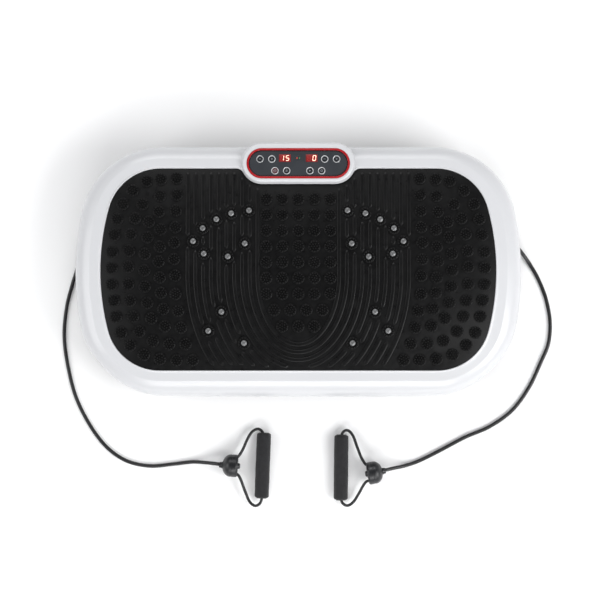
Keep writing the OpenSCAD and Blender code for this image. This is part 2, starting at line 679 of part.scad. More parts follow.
module driven_pulley() color("#2c2e32") difference() {
    union() {
        along_y(crank_x, belt_y - 7, crank_z, big_pulley_r, 14);
        for (y = [-7, 5.5]) along_y(crank_x, belt_y + y, crank_z, big_pulley_r + 2, 1.5);
    }
    along_y(crank_x, belt_y - 10, crank_z, crank_d / 2, 20);
    for (a = [0:60:300]) translate([crank_x, belt_y - 10, crank_z]) rotate([0, a, 0])
        translate([16.5, 0, 0]) rotate([-90, 0, 0]) cylinder(h = 20, r = 4.5);
}

// The rod stands on the eccentric; its upper eye surrounds the platform's pin
module connecting_rod() color("lightslategray") difference() {
    union() {
        along_y(crank_x + rod_offset, -4.5, crank_z, 23.5, 9);
        along_y(crank_x + rod_offset, -4.5, pivot_z, 15.6, 9);
        block(crank_x + rod_offset, 0, crank_z, [24, 9, pivot_z - crank_z]);
    }
    along_y(crank_x + rod_offset, -6, crank_z, 18.5, 12);
    along_y(crank_x + rod_offset, -6, pivot_z, 11.4, 12);
}

module link_bearing() color("silver")
    pipe_y(crank_x + rod_offset, -3.5, crank_z, 18.5, 12.5 + run_gap, 7);

module motor_shaft() color("silver") along_y(motor_x, -72, motor_z, 5, 152);

module motor_pulley() color("#2c2e32") difference() {
    union() {
        along_y(motor_x, belt_y - 7, motor_z, small_pulley_r, 14);
        for (y = [-7, 5.5]) along_y(motor_x, belt_y + y, motor_z, small_pulley_r + 2, 1.5);
    }
    along_y(motor_x, belt_y - 10, motor_z, 5, 20);
}

// ---------------------------------------------------------------- cords and grips

module left_cord() color("#1a1a1a")
    tube(above(smooth(left_route), cord_d / 2), cord_d / 2, 10);
module right_cord() color("#1a1a1a")
    tube(above(smooth(right_route), cord_d / 2), cord_d / 2, 10);
module left_loop() color("#1a1a1a") tube(smooth(left_loop_route), loop_d / 2);
module right_loop() color("#1a1a1a") tube(smooth(right_loop_route), loop_d / 2);

// A moulded dome: neck towards the cord, flat face with a small nub towards the loop
module stopper(place) translate([place.x, place.y, stopper_r]) rotate([0, 0, place.z])
    rotate([0, 90, 0]) rotate_extrude() polygon(concat(
        [[0, -20], [4.6, -20], [6.5, -13]],
        [for (a = [-70:14:0]) [stopper_r * cos(a), stopper_r * 0.75 * sin(a)]],
        [[stopper_r, 9], [stopper_r - 1.5, 12.5], [5, 12.5], [4, 16.5], [0, 16.5]]));
module cord_stoppers() color("#3c3f45") {
    stopper(left_stopper);
    stopper(right_stopper);
}

module at_grip(place) translate([place.x, place.y, grip_z]) rotate([0, 0, -place.z])
    rotate([90, 0, 0]) children();
module grip_core(place) color("#161616") at_grip(place) difference() {
    translate([0, 0, -grip_l / 2 - 1]) cylinder(h = grip_l + 2, r = 8.6);
    translate([0, 0, -grip_l]) cylinder(h = 2 * grip_l, r = 5);
}
module grip_foam(place) color("#2b2b2e") at_grip(place) rotate_extrude() polygon(concat(
    [[8.6, -grip_l / 2]],
    [for (a = [-90:15:0]) [grip_d / 2 - 3 + 3 * cos(a), -grip_l / 2 + 3 + 3 * sin(a)]],
    [for (a = [0:15:90]) [grip_d / 2 - 3 + 3 * cos(a), grip_l / 2 - 3 + 3 * sin(a)]],
    [[8.6, grip_l / 2]]));
module left_grip_core() grip_core(left_grip);
module left_grip_foam() grip_foam(left_grip);
module right_grip_core() grip_core(right_grip);
module right_grip_foam() grip_foam(right_grip);

top_cover();
rubber_mat();
magnet_studs();
deck_board();
platform_frame();
pivot_shaft();
link_pin();
console_panel();
trim_ring();
display_lenses();
digit_displays();
status_leds();
button_rings();
console_board();
tact_switches();
platform_fasteners();
time_down_button();
time_up_button();
speed_down_button();
speed_up_button();
power_button();
mode_button();
manual_button();
auto_button();
bottom_case();
chassis_plate();
suction_feet();
foot_bolts();
pillow_blocks();
pivot_bearings();
crank_blocks();
crank_bearings();
motor_body();
motor_bracket();
drive_belt();
controller_board();
transformer();
power_inlet();
rocker_frame();
rubber_bumpers();
inlet_pins();
wiring();
cord_anchors();
base_screws();
power_rocker();
crank_shaft();
driven_pulley();
connecting_rod();
link_bearing();
motor_shaft();
motor_pulley();
left_cord();
right_cord();
left_loop();
right_loop();
cord_stoppers();
left_grip_core();
left_grip_foam();
right_grip_core();
right_grip_foam();
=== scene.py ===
import json
import random
from math import atan2, copysign, cos, degrees, dist, hypot, pi, radians, sin, sqrt

import bmesh
import bpy
from mathutils import Matrix, Vector, noise
from mathutils.geometry import delaunay_2d_cdt


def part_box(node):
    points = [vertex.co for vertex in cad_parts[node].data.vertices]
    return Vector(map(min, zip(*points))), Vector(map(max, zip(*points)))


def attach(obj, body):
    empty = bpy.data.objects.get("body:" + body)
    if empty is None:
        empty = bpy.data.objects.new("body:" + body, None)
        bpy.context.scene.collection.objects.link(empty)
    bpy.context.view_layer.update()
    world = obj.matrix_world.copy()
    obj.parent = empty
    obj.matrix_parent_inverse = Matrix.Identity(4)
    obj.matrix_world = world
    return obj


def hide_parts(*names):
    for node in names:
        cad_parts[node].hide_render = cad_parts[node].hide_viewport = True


# The looks of a vibration plate, built round its CAD frame. Mesh work is in millimetres and
# is turned into metres when a piece is made.
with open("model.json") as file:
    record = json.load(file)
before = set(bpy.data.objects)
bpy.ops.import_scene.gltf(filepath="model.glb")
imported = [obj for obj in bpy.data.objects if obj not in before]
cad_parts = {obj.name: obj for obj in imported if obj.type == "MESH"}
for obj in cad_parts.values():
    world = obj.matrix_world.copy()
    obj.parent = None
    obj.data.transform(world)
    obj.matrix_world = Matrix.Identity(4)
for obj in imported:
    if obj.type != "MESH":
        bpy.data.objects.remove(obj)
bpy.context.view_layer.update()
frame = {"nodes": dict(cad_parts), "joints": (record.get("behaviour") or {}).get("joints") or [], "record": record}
random.seed(7)
MM = 0.001


def cad_box(node):
    """A CAD node's lowest and highest corner, in millimetres."""
    low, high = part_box(node)
    return low / MM, high / MM


def islands(node, above=None):
    """The boxes of a CAD node's separate solids, or of its flat areas above a height, in mm."""
    mesh = frame["nodes"][node].data
    keys = [tuple(round(c / MM, 1) for c in v.co) for v in mesh.vertices]
    parent = {k: k for k in keys}

    def root(k):
        while parent[k] != k:
            parent[k] = parent[parent[k]]
            k = parent[k]
        return k

    for polygon in mesh.polygons:
        corners = [keys[i] for i in polygon.vertices]
        if above is None or min(k[2] for k in corners) > above:
            for k in corners[1:]:
                parent[root(k)] = root(corners[0])
    groups = {}
    for k in parent:
        if above is None or k[2] > above:
            groups.setdefault(root(k), []).append(k)
    boxes = [(Vector(map(min, zip(*g))), Vector(map(max, zip(*g)))) for g in groups.values()]
    return sorted(boxes, key=lambda b: tuple(b[0]))


def centres(boxes):
    return [(low + high) / 2 for low, high in boxes]


# ---- driving dimensions

cover_low, cover_high = cad_box("top_cover")
mat_low, mat_high = cad_box("rubber_mat")
ring_low, ring_high = cad_box("trim_ring")
case_low, case_high = cad_box("bottom_case")

MAT_GAP = 0.4
MAT_T = 3
DECK_Z = mat_low.z
MAT_Z = DECK_Z + MAT_T
NUB_TOP = mat_high.z
SKIRT_Z = cover_low.z
# half width, half depth, radius of the bowed sides, radius of the corners
MAT_LINE = (mat_high.x + MAT_GAP, -mat_low.y + MAT_GAP, 400, 90)
RIM_LINE = (cover_high.x, 212, 525, 140)
BASE_LINE = (352, case_high.y, 525, 118)
RIM_W = RIM_LINE[1] - MAT_LINE[1]

CONSOLE = (ring_low + ring_high) / 2
RING_R = (ring_high.y - ring_low.y) / 2
PILL_HALF = (ring_high.x - ring_low.x) / 2 - RING_R
POD_Z = cover_high.z
POCKET_Z = ring_low.z
PANEL_Z = POCKET_Z + 1.8
POD_Y = CONSOLE.y + 1.4
POD_R = 35.1
SHOULDER_R = 14
SHOULDER_Y = MAT_LINE[1] - SHOULDER_R
SHOULDER = (PILL_HALF + sqrt((POD_R + SHOULDER_R) ** 2 - (POD_Y - SHOULDER_Y) ** 2),
            SHOULDER_Y)


# ---- cord routes

# The CAD routes in millimetres; the loops have a few more points at their round ends
LEFT_ROUTE = [
    (-368, 60, 28), (-376, 50, 26), (-383, 33, 18), (-390, 8, 8), (-399, -20), (-408, -58),
    (-412, -106), (-406, -156), (-391, -214), (-366, -264), (-336, -303), (-301, -327),
    (-261, -336), (-221, -333), (-186, -329, 4.5), (-160, -330, 11), (-138, -332, 18.8)]
RIGHT_ROUTE = [
    (368, 60, 28), (377, 52, 26.5), (388, 43, 18), (398, 32, 9), (409, 17, 4), (423, -8),
    (436, -42), (443, -82), (440, -121), (426, -155), (406, -197), (376, -238), (336, -267),
    (292, -286), (252, -307), (214, -326), (188, -335, 5.5), (168, -339, 12), (151, -342.5, 19)]
LEFT_LOOP = [
    (-109, -321.5, 19.5), (-103.5, -317.5, 19), (-96.5, -306, 17.2), (-88.5, -288, 14.5),
    (-80.5, -275.8, 13), (-70.6, -271.2, 13), (-63, -276, 13), (-60, -286, 13),
    (-60.6, -298, 13), (-62, -338, 13), (-63.4, -378, 13), (-63.6, -390, 13), (-67, -400.4, 13),
    (-75.5, -404.6, 13), (-85, -397.4, 13), (-93, -379, 14.5), (-99.5, -361, 17.2),
    (-104.5, -351.5, 19), (-110.5, -347.5, 19.5)]
RIGHT_LOOP = [
    (122.5, -335, 19.5), (116.5, -331.5, 19), (109.5, -320, 17.2), (102.5, -302, 14.5),
    (95.7, -283.5, 13), (87, -273.8, 13), (78.2, -276.4, 13), (75.1, -286, 13),
    (75.1, -298, 13), (74.6, -338, 13), (74.1, -378, 13), (74.2, -390, 13), (77.5, -400.4, 13),
    (86, -404.2, 13), (95.5, -398.5, 13), (104.5, -385, 14.5), (112, -371, 17.2),
    (118, -362.8, 19), (124.5, -360, 19.5)]
# radii of the resistance cords and of the handle loops
CORD_R = 3.2
LOOP_R = 2.5
# place of each stopper's middle, and the angle of its axis from +X
STOPPER_R = 19.5
STOPPERS = {"left": (-118, -334.5, -4), "right": (132.5, -346.5, 190)}


def spline_point(a, b, c, d, t):
    return (2 * b + (c - a) * t + (2 * a - 5 * b + 4 * c - d) * t * t
            + (3 * b - a - 3 * c + d) * t * t * t) / 2


def smooth_path(route, low, steps=8):
    """A smooth path through the route's points; a point without a height lies on the floor."""
    points = [Vector(p if len(p) == 3 else (*p, CORD_R)) for p in route]
    last = len(points) - 1
    path = []
    for i in range(last):
        four = [points[max(i - 1, 0)], points[i], points[i + 1], points[min(i + 2, last)]]
        path += [spline_point(*four, k / steps) for k in range(steps)]
    path.append(points[last])
    for p in path:
        p.z = max(p.z, low)
    return path


# ---- objects, meshes and the camera

def to_scene(name, data):
    """A new object in the scene."""
    thing = bpy.data.objects.new(name, data)
    bpy.context.scene.collection.objects.link(thing)
    return thing


def aim(thing, place, direction):
    """Puts a camera or a light somewhere, with its view along a direction."""
    thing.location = place
    thing.rotation_mode = "QUATERNION"
    thing.rotation_quaternion = direction.to_track_quat("-Z", "Y")


def new_mesh(name, shape):
    mesh = bpy.data.meshes.new(name)
    mesh.from_pydata([tuple(c * MM for c in p) for p in shape.points], [], shape.faces)
    return mesh


def hand_over(piece, body, replaces):
    """Parents a piece to its body's empty and hides the CAD nodes it replaces."""
    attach(piece, body)
    if replaces:
        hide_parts(*replaces)


def make_camera():
    """A long lens that looks down at the angle of the photo."""
    elevation, distance = radians(86.8), 2.62
    target = Vector((0.0029, -0.052, 0.131))
    back = Vector((0, -cos(elevation), sin(elevation)))
    data = bpy.data.cameras.new("camera")
    data.sensor_width = 36
    data.lens = 93.57
    data.clip_end = 50
    camera = to_scene("camera", data)
    aim(camera, target + back * distance, -back)
    bpy.context.scene.camera = camera


# ---- materials

def set_inputs(node, **values):
    """Sets a node's constants; an underscore stands for a space in a socket's name."""
    for name, value in values.items():
        node.inputs[name.replace("_", " ")].default_value = value


class Nodes:
    """A material's node tree, with short calls for the nodes used here."""

    def __init__(self, name, color, rough, metal=0.0, specular=0.5):
        self.material = bpy.data.materials.new(name)
        self.material.use_nodes = True
        self.tree = self.material.node_tree
        self.shader = self.tree.nodes["Principled BSDF"]
        self.color, self.rough = color, rough
        set_inputs(self.shader, Base_Color=(*color, 1), Roughness=rough, Metallic=metal,
                   Specular_IOR_Level=specular)
        self.coords = self.node("TexCoord").outputs["Object"]
        self.bump_normal = None

    def link(self, a, b):
        self.tree.links.new(a, b)

    def node(self, kind, **values):
        node = self.tree.nodes.new("ShaderNode" + kind)
        set_inputs(node, **values)
        return node

    def mapped(self, kind, vector=None, **values):
        """A node that takes the object's own coordinates, or another vector."""
        node = self.node(kind, **values)
        self.link(vector or self.coords, node.inputs["Vector"])
        return node

    def stretched(self, scale):
        return self.mapped("Mapping", Scale=scale).outputs["Vector"]

    def noise(self, scale, detail=3.0, vector=None):
        return self.mapped("TexNoise", vector, Scale=scale, Detail=detail).outputs["Fac"]

    def cells(self, scale):
        return self.mapped("TexVoronoi", Scale=scale).outputs["Distance"]

    def ramp(self, value, low, high, from_low=0.3, from_high=0.7):
        node = self.node("MapRange", From_Min=from_low, From_Max=from_high, To_Min=low,
                         To_Max=high)
        self.link(value, node.inputs["Value"])
        return node.outputs["Result"]

    def vary_color(self, value, other, from_low=0.35, from_high=0.65):
        """The base colour runs to another colour where the value is high."""
        node = self.node("Mix")
        node.data_type = "RGBA"
        set_inputs(node, A=(*self.color, 1), B=(*other, 1))
        self.link(self.ramp(value, 0, 1, from_low, from_high), node.inputs["Factor"])
        self.link(node.outputs["Result"], self.shader.inputs["Base Color"])
        return self

    def paint_shade_by_height(self, low_z, high_z, stops):
        """Multiplies the base colour by greys that follow the height between two heights, as painted shade."""
        height = self.mapped("SeparateXYZ").outputs["Z"]
        ramp = self.node("ValToRGB")
        self.link(self.ramp(height, 0, 1, low_z * MM, high_z * MM), ramp.inputs["Fac"])
        marks = ramp.color_ramp.elements
        for place, _ in stops[1:-1]:
            marks.new(place)
        for mark, (_, grey) in zip(marks, stops):
            mark.color = (grey, grey, grey, 1)
        mix = self.node("Mix", Factor=1)
        mix.data_type, mix.blend_type = "RGBA", "MULTIPLY"
        base = self.shader.inputs["Base Color"]
        self.link(base.links[0].from_socket, mix.inputs["A"])
        self.link(ramp.outputs["Color"], mix.inputs["B"])
        self.link(mix.outputs["Result"], base)
        return self

    def vary_rough(self, value, spread):
        low, high = self.rough - spread, self.rough + spread
        self.link(self.ramp(value, low, high), self.shader.inputs["Roughness"])
        return self

    def bump(self, value, depth):
        """Adds a bump on top of the bumps so far; the depth is in millimetres."""
        node = self.node("Bump", Strength=1.0, Distance=depth * MM)
        self.link(value, node.inputs["Height"])
        if self.bump_normal:
            self.link(self.bump_normal, node.inputs["Normal"])
        self.bump_normal = node.outputs["Normal"]
        self.link(self.bump_normal, self.shader.inputs["Normal"])
        return self

    def coat(self, weight, rough):
        set_inputs(self.shader, Coat_Weight=weight, Coat_Roughness=rough)
        return self

    def glow(self, color, strength):
        set_inputs(self.shader, Emission_Color=(*color, 1), Emission_Strength=strength)
        return self


def shade(color, factor):
    return tuple(c * factor for c in color)


def gloss_plastic(name, color, rough=0.3, specular=0.5):
    """Moulded plastic: faint flow marks, a very fine orange peel and a thin clear skin."""
    n = Nodes(name, color, rough, specular=specular)
    n.vary_color(n.noise(7, 4), shade(color, 0.975))
    n.vary_rough(n.noise(45, 3), 0.025)
    n.bump(n.noise(650, 2), 0.004)
    return n.coat(0.2, 0.14)


def grained_plastic(name, color, rough=0.55, grain=700, depth=0.09, specular=0.4):
    """Moulded plastic with an etched grain."""
    n = Nodes(name, color, rough, specular=specular)
    n.vary_color(n.noise(14, 4), shade(color, 1.22))
    n.vary_rough(n.noise(90, 4), 0.07)
    n.bump(n.cells(grain), depth)
    n.bump(n.noise(grain * 2.4, 2), depth * 0.4)
    return n


def rubber(name, color, rough=0.62, grain=1100, depth=0.08, specular=0.3):
    """Moulded rubber: a dull, finely pitted skin with a trace of dust."""
    n = Nodes(name, color, rough, specular=specular)
    n.vary_color(n.noise(22, 6), shade(color, 1.45), 0.45, 0.75)
    n.vary_rough(n.noise(140, 4), 0.08)
    n.bump(n.noise(grain, 4), depth)
    n.bump(n.cells(grain * 0.55), depth * 0.5)
    return n


def turned_metal(name, color, rough=0.25, stretch=(1, 1, 1), scale=700, metal=1.0):
    """Machined metal: fine tool marks, stretched along one axis."""
    n = Nodes(name, color, rough, metal=metal)
    marks = n.noise(scale, 5, n.stretched(stretch))
    n.vary_color(n.noise(35, 4), shade(color, 0.86))
    n.vary_rough(marks, 0.09)
    n.bump(marks, 0.02)
    return n


def cast_metal(name, color, rough=0.6):
    n = Nodes(name, color, rough, metal=0.75)
    n.vary_color(n.noise(50, 5), shade(color, 0.7))
    n.vary_rough(n.noise(180, 4), 0.1)
    n.bump(n.noise(320, 6), 0.25)
    return n


def glowing(name, color, glow_color, strength):
    n = Nodes(name, color, 0.35)
    n.vary_color(n.noise(300, 3), shade(color, 0.8))
    n.bump(n.noise(900, 2), 0.01)
    return n.glow(glow_color, strength)


def fibreboard(name, color):
    n = Nodes(name, color, 0.8, specular=0.2)
    n.vary_color(n.noise(260, 6, n.stretched((1, 3, 8))), shade(color, 0.6))
    n.vary_rough(n.noise(300, 4), 0.08)
    n.bump(n.noise(600, 6), 0.12)
    return n


def foam(name, color):
    """Closed-cell foam: open pores cut through by the mould skin, and a soft mottle."""
    n = Nodes(name, color, 0.86, specular=0.22)
    n.vary_color(n.noise(120, 6), shade(color, 1.35))
    n.vary_rough(n.noise(300, 3), 0.07)
    n.bump(n.cells(950), 0.28)
    n.bump(n.noise(420, 6), 0.22)
    set_inputs(n.shader, Sheen_Weight=0.12, Sheen_Roughness=0.6)
    return n


# each kind of material, and what it takes for every name: a colour, then what differs
MATERIALS = {
    gloss_plastic: {
        "shell_white": ((0.56, 0.565, 0.582), 0.3),
        "ring_red": ((0.34, 0.006, 0.01), 0.34, 0.35),
        "button_dark": ((0.012, 0.014, 0.017), 0.28, 0.4),
        "rocker_red": ((0.4, 0.012, 0.012), 0.24),
        "wire_red": ((0.28, 0.02, 0.015), 0.42),
        "power_cap": ((0.06, 0.003, 0.005), 0.3),
        "status_window": ((0.03, 0.034, 0.04), 0.16, 0.4),
    },
    rubber: {
        "mat_rubber": ((0.0042, 0.0042, 0.0044), 0.35, 900, 0.015, 0.2),
        "foot_rubber": ((0.018, 0.018, 0.019), 0.66),
        "belt_rubber": ((0.014, 0.014, 0.014), 0.7),
        "cord_rubber": ((0.011, 0.011, 0.012), 0.36, 1500, 0.03, 0.45),
    },
    turned_metal: {
        "stud_steel": ((0.19, 0.192, 0.195), 0.46, (1, 1, 1), 900, 0.85),
        "shaft_steel": ((0.62, 0.62, 0.63), 0.24, (1, 0.05, 1), 900),
        "ring_silver": ((0.66, 0.67, 0.69), 0.4, (1, 1, 1), 900, 0.7),
        "bolt_steel": ((0.6, 0.6, 0.58), 0.34, (1, 1, 6), 500),
        "bearing_steel": ((0.66, 0.66, 0.67), 0.2, (1, 0.1, 1), 900),
        "pin_brass": ((0.76, 0.56, 0.24), 0.24, (1, 0.2, 1), 900),
        "rod_alloy": ((0.58, 0.59, 0.61), 0.36, (1, 1, 0.1), 700),
    },
    fibreboard: {
        "board": ((0.42, 0.27, 0.14),),
    },
    grained_plastic: {
        "frame_black": ((0.03, 0.031, 0.034), 0.45, 500, 0.06),
        "panel_dark": ((0.026, 0.029, 0.034), 0.42, 900, 0.02, 0.3),
        "display_black": ((0.02, 0.02, 0.02), 0.5),
        "circuit_board": ((0.01, 0.09, 0.035), 0.4, 400, 0.05),
        "switch_black": ((0.02, 0.02, 0.02), 0.5),
        "case_charcoal": ((0.036, 0.037, 0.041), 0.6, 620, 0.12),
        "motor_grey": ((0.075, 0.08, 0.09), 0.45, 480, 0.08),
        "inlet_black": ((0.014, 0.014, 0.014), 0.42, 900, 0.04),
        "pulley_black": ((0.03, 0.03, 0.033), 0.5, 500, 0.07),
        "stopper_plastic": ((0.008, 0.0084, 0.01), 0.36, 900, 0.03, 0.5),
        "core_plastic": ((0.012, 0.012, 0.012), 0.5),
        "key_mark": ((0.22, 0.23, 0.25), 0.5),
        "floor": ((0.93, 0.93, 0.93), 0.9, 60, 0.02, 0.1),
    },
    glowing: {
        # the red windows carry a faint painted glow for the light that the lit digits spill into them
        "window_red": ((0.11, 0.005, 0.006), (0.5, 0.02, 0.02), 0.22),
        "led_lens": ((0.3, 0.05, 0.03), (0.6, 0.05, 0.03), 0.3),
        "digit_lit": ((0.9, 0.5, 0.4), (1.0, 0.46, 0.34), 1.9),
        # painted glow: the unlit segments glow faintly red though they give no light
        "digit_unlit": ((0.16, 0.014, 0.014), (0.6, 0.05, 0.04), 0.35),
        "mark_red": ((0.5, 0.06, 0.03), (0.8, 0.07, 0.03), 0.35),
        "mark_green": ((0.05, 0.2, 0.06), (0.04, 0.3, 0.08), 0.25),
    },
    cast_metal: {
        "block_cast": ((0.2, 0.21, 0.23),),
        "core_iron": ((0.24, 0.15, 0.07), 0.5),
    },
    foam: {
        "foam_black": ((0.012, 0.012, 0.0132),),
    },
}


def make_materials():
    made = {name: kind(name, *rest) for kind, group in MATERIALS.items()
            for name, rest in group.items()}
    # painted shade: the nub discs are darkened for the shadow among their pips, and the mat floor a little for the
    # shade between the ridges; ridge tops and pip tips keep the full colour
    made["mat_rubber"].paint_shade_by_height(MAT_Z, NUB_TOP, [(0, 0.8), (0.42, 0.95), (0.5, 1.0), (0.53, 0.3),
                                              (0.74, 0.3), (0.9, 0.8), (1, 1.0)])
    made["floor"].vary_color(made["floor"].noise(2, 3), (0.91, 0.91, 0.915))
    return {name: nodes.material for name, nodes in made.items()}


materials = make_materials()


def dress_cad_nodes():
    """Every CAD node takes the material of its slot in the record."""
    slots = {part["node"]: part["material_slot"] for part in frame["record"]["subparts"]}
    for name, node in frame["nodes"].items():
        for material_slot in node.material_slots:
            material_slot.material = materials[slots[name]]


# ---- mesh helpers

class Shape:
    """Points and faces of a mesh in millimetres."""

    def __init__(self):
        self.points, self.faces = [], []

    def add(self, points):
        start = len(self.points)
        self.points += [tuple(p) for p in points]
        return list(range(start, len(self.points)))

    def bridge(self, a, b, closed=True):
        count = len(a) if closed else len(a) - 1
        for i in range(count):
            j = (i + 1) % len(a)
            self.faces.append((a[i], a[j], b[j], b[i]))

    def loft(self, rings, foot=True, top=True):
        """Closed rings joined by walls, with a face over the first and over the last ring."""
        loops = [self.add(ring) for ring in rings]
        for a, b in zip(loops, loops[1:]):
            self.bridge(a, b)
        if foot:
            self.faces.append(tuple(reversed(loops[0])))
        if top:
            self.faces.append(tuple(loops[-1]))
        return loops

    def merge(self, other, matrix=Matrix()):
        start = len(self.points)
        self.points += [tuple(matrix @ Vector(p)) for p in other.points]
        self.faces += [tuple(i + start for i in face) for face in other.faces]
        return self

    def fill(self, loops, inside, extra=()):
        """Triangles between loops of points, seen from above, over extra points between them."""
        given = [p for loop in loops for p in loop] + list(extra)
        edges, start = [], 0
        for loop in loops:
            n = len(loop)
            edges += [(start + i, start + (i + 1) % n) for i in range(n)]
            start += n
        flat = [Vector(p[:2]) for p in given]
        made, _, triangles, sources, _, _ = delaunay_2d_cdt(flat, edges, [], 0, 1e-5)
        start = len(self.points)
        for p, source in zip(made, sources):
            near = source[0] if source else min(range(len(flat)),
                                                key=lambda i: (flat[i] - p).length)
            self.points.append((p.x, p.y, given[near][2]))
        for triangle in triangles:
            middle = sum((made[i] for i in triangle), Vector((0, 0))) / 3
            if inside(middle.x, middle.y):
                self.faces.append(tuple(start + i for i in triangle))


def make_piece(name, shape, material, body, replaces=(), sharp=40.0):
    """One Blender object from a shape, welded, smooth shaded, and riding on its body."""
    mesh = new_mesh(name, shape)
    build = bmesh.new()
    build.from_mesh(mesh)
    bmesh.ops.remove_doubles(build, verts=build.verts, dist=0.004 * MM)
    loose = [v for v in build.verts if not v.link_faces]
    bmesh.ops.delete(build, geom=loose, context="VERTS")
    bmesh.ops.recalc_face_normals(build, faces=build.faces)
    build.to_mesh(mesh)
    build.free()
    mesh.polygons.foreach_set("use_smooth", [True] * len(mesh.polygons))
    mesh.set_sharp_from_angle(angle=radians(sharp))
    mesh.materials.append(materials[material])
    piece = to_scene(name, mesh)
    hand_over(piece, body, replaces)
    return piece


def circle(x, y, z, r, count, start=0.0):
    turns = [start + 2 * pi * i / count for i in range(count)]
    return [(x + r * cos(a), y + r * sin(a), z) for a in turns]


def lathe(profile, count=64, closed=False):
    """A turned shape about Z from (radius, height) points; the ends close on the axis."""
    shape = Shape()
    rings = [circle(0, 0, z, max(r, 0.01), count) for r, z in profile]
    loops = shape.loft(rings, foot=not closed, top=not closed)
    if closed:
        shape.bridge(loops[-1], loops[0])
    return shape


def over(low, high, z=0):
    """The move that takes a shape over the middle of a box, to height z."""
    return Matrix.Translation(((low.x + high.x) / 2, (low.y + high.y) / 2, z))


def arc(cx, cy, r, start, end, steps):
    """Points on an arc, angles in degrees, both ends included."""
    angles = [radians(start + (end - start) * i / steps) for i in range(steps + 1)]
    return [(cx + r * cos(a), cy + r * sin(a)) for a in angles]


def rounded_box(x, y, z, size, r=1.0, edge=0.25):
    """An upright box with round corners and an eased top edge; z is its foot."""
    shape = Shape()
    rings = []
    steps = [(0, 0), (0, size[2] - edge), (edge * 0.3, size[2] - edge * 0.3), (edge, size[2])]
    for inset, height in steps:
        hx, hy, cr = size[0] / 2 - inset, size[1] / 2 - inset, max(r - inset, 0.05)
        flat = []
        for sx, sy, turn in ((1, 1, 0), (-1, 1, 90), (-1, -1, 180), (1, -1, 270)):
            flat += arc(x + sx * (hx - cr), y + sy * (hy - cr), cr, turn, turn + 90, 5)
        rings.append([(px, py, z + height) for px, py in flat])
    shape.loft(rings)
    return shape


def pill(r, z, arc_steps=32, side_steps=30, y=CONSOLE.y):
    """A ring of points round a pill outline, the console's or the pod's."""
    x = PILL_HALF
    right = arc(x, y, r, -90, 90, arc_steps)
    left = arc(-x, y, r, 90, 270, arc_steps)
    top = [(x - 2 * x * i / side_steps, y + r) for i in range(1, side_steps)]
    foot = [(-x + 2 * x * i / side_steps, y - r) for i in range(1, side_steps)]
    return [(px, py, z) for px, py in right + top + left + foot]


def hermite(points, x):
    """A smooth curve through (x, y) points with x rising."""
    if x <= points[0][0]:
        return points[0][1]
    if x >= points[-1][0]:
        return points[-1][1]
    i = max(k for k in range(len(points) - 1) if points[k][0] <= x)

    def slope(k):
        a, b = points[max(k - 1, 0)], points[min(k + 1, len(points) - 1)]
        return (b[1] - a[1]) / (b[0] - a[0])

    (x0, y0), (x1, y1) = points[i], points[i + 1]
    h = x1 - x0
    t = (x - x0) / h
    return ((2 * t ** 3 - 3 * t * t + 1) * y0 + (t ** 3 - 2 * t * t + t) * h * slope(i)
            + (3 * t * t - 2 * t ** 3) * y1 + (t ** 3 - t * t) * h * slope(i + 1))


def soft_max(a, b, k):
    h = max(k - abs(a - b), 0) / k
    return max(a, b) + h * h * k / 4


# ---- outlines

def corner_x(line):
    width, depth, side_r, corner_r = line
    return width - side_r + sqrt((side_r - corner_r) ** 2 - (depth - corner_r) ** 2)


def outline(line, edge_steps=60):
    """A soft-cornered outline, anticlockwise from the middle of the right side."""
    width, depth, side_r, corner_r = line
    cx, cy = corner_x(line), depth - corner_r
    turn = degrees(atan2(cy, cx - width + side_r))
    quarter = arc(width - side_r, 0, side_r, 0, turn, 14)[:-1]
    quarter += arc(cx, cy, corner_r, turn, 90, 22)
    quarter += [(cx * (1 - i / edge_steps), depth) for i in range(1, edge_steps + 1)]
    left = [(-x, y) for x, y in reversed(quarter[:-1])]
    below = [(-x, -y) for x, y in quarter[1:]]
    right = [(x, -y) for x, y in reversed(quarter[1:-1])]
    return quarter + left + below + right


def inset(line, d):
    return tuple(value - d for value in line)


def rim_line(u):
    return tuple(a + (b - a) * u for a, b in zip(MAT_LINE, RIM_LINE))


# how far the front swells, over what half width and from where across the rim
APRON, APRON_W, APRON_FROM = 2, 240, 0.7
CORNER_EASE = 4.5


def rim_outline(u):
    """The outline at a place across the rim: the front swells and its corners are softer."""
    line = rim_line(u)
    cx, cy = corner_x(line), line[1] - line[3]
    points = []
    for x, y in outline(line):
        if y < -cy and abs(x) > cx:
            turn = atan2(-y - cy, abs(x) - cx)
            ease = CORNER_EASE * u * sin(2 * turn) ** 2
            x -= copysign(ease * cos(turn), x)
            y += ease * sin(turn)
        if y < 0 and u > APRON_FROM and abs(x) < APRON_W:
            y -= APRON * (u - APRON_FROM) / (1 - APRON_FROM) * (1 - (x / APRON_W) ** 4)
        points.append((x, y))
    return points


def first_column(x):
    """The first point of an outline that lies behind the middle and left of x."""
    return next(i for i, p in enumerate(outline(MAT_LINE)) if p[1] > 0 and p[0] < x)


BITE_START, BITE_END = first_column(SHOULDER[0]), first_column(-SHOULDER[0])


def notched_outline(gap):
    """The mat's outline, with the bite that the console pod takes out of its back edge."""
    flat = outline(inset(MAT_LINE, gap))
    back = MAT_LINE[1] - gap
    across, rise = SHOULDER[0] - PILL_HALF, POD_Y - SHOULDER[1]
    lean = degrees(atan2(rise, across))
    bite = arc(*SHOULDER, SHOULDER_R - gap, 90, 180 - lean, 10)
    bite += arc(PILL_HALF, POD_Y, POD_R + gap, -lean, -90, 14)
    bite += [(PILL_HALF * (1 - i / 14), POD_Y - POD_R - gap) for i in range(1, 15)]
    bite += [(-x, y) for x, y in reversed(bite[:-1])]
    bite = [(x, min(y, back)) for x, y in bite]
    return flat[:BITE_START] + bite + flat[BITE_END:]


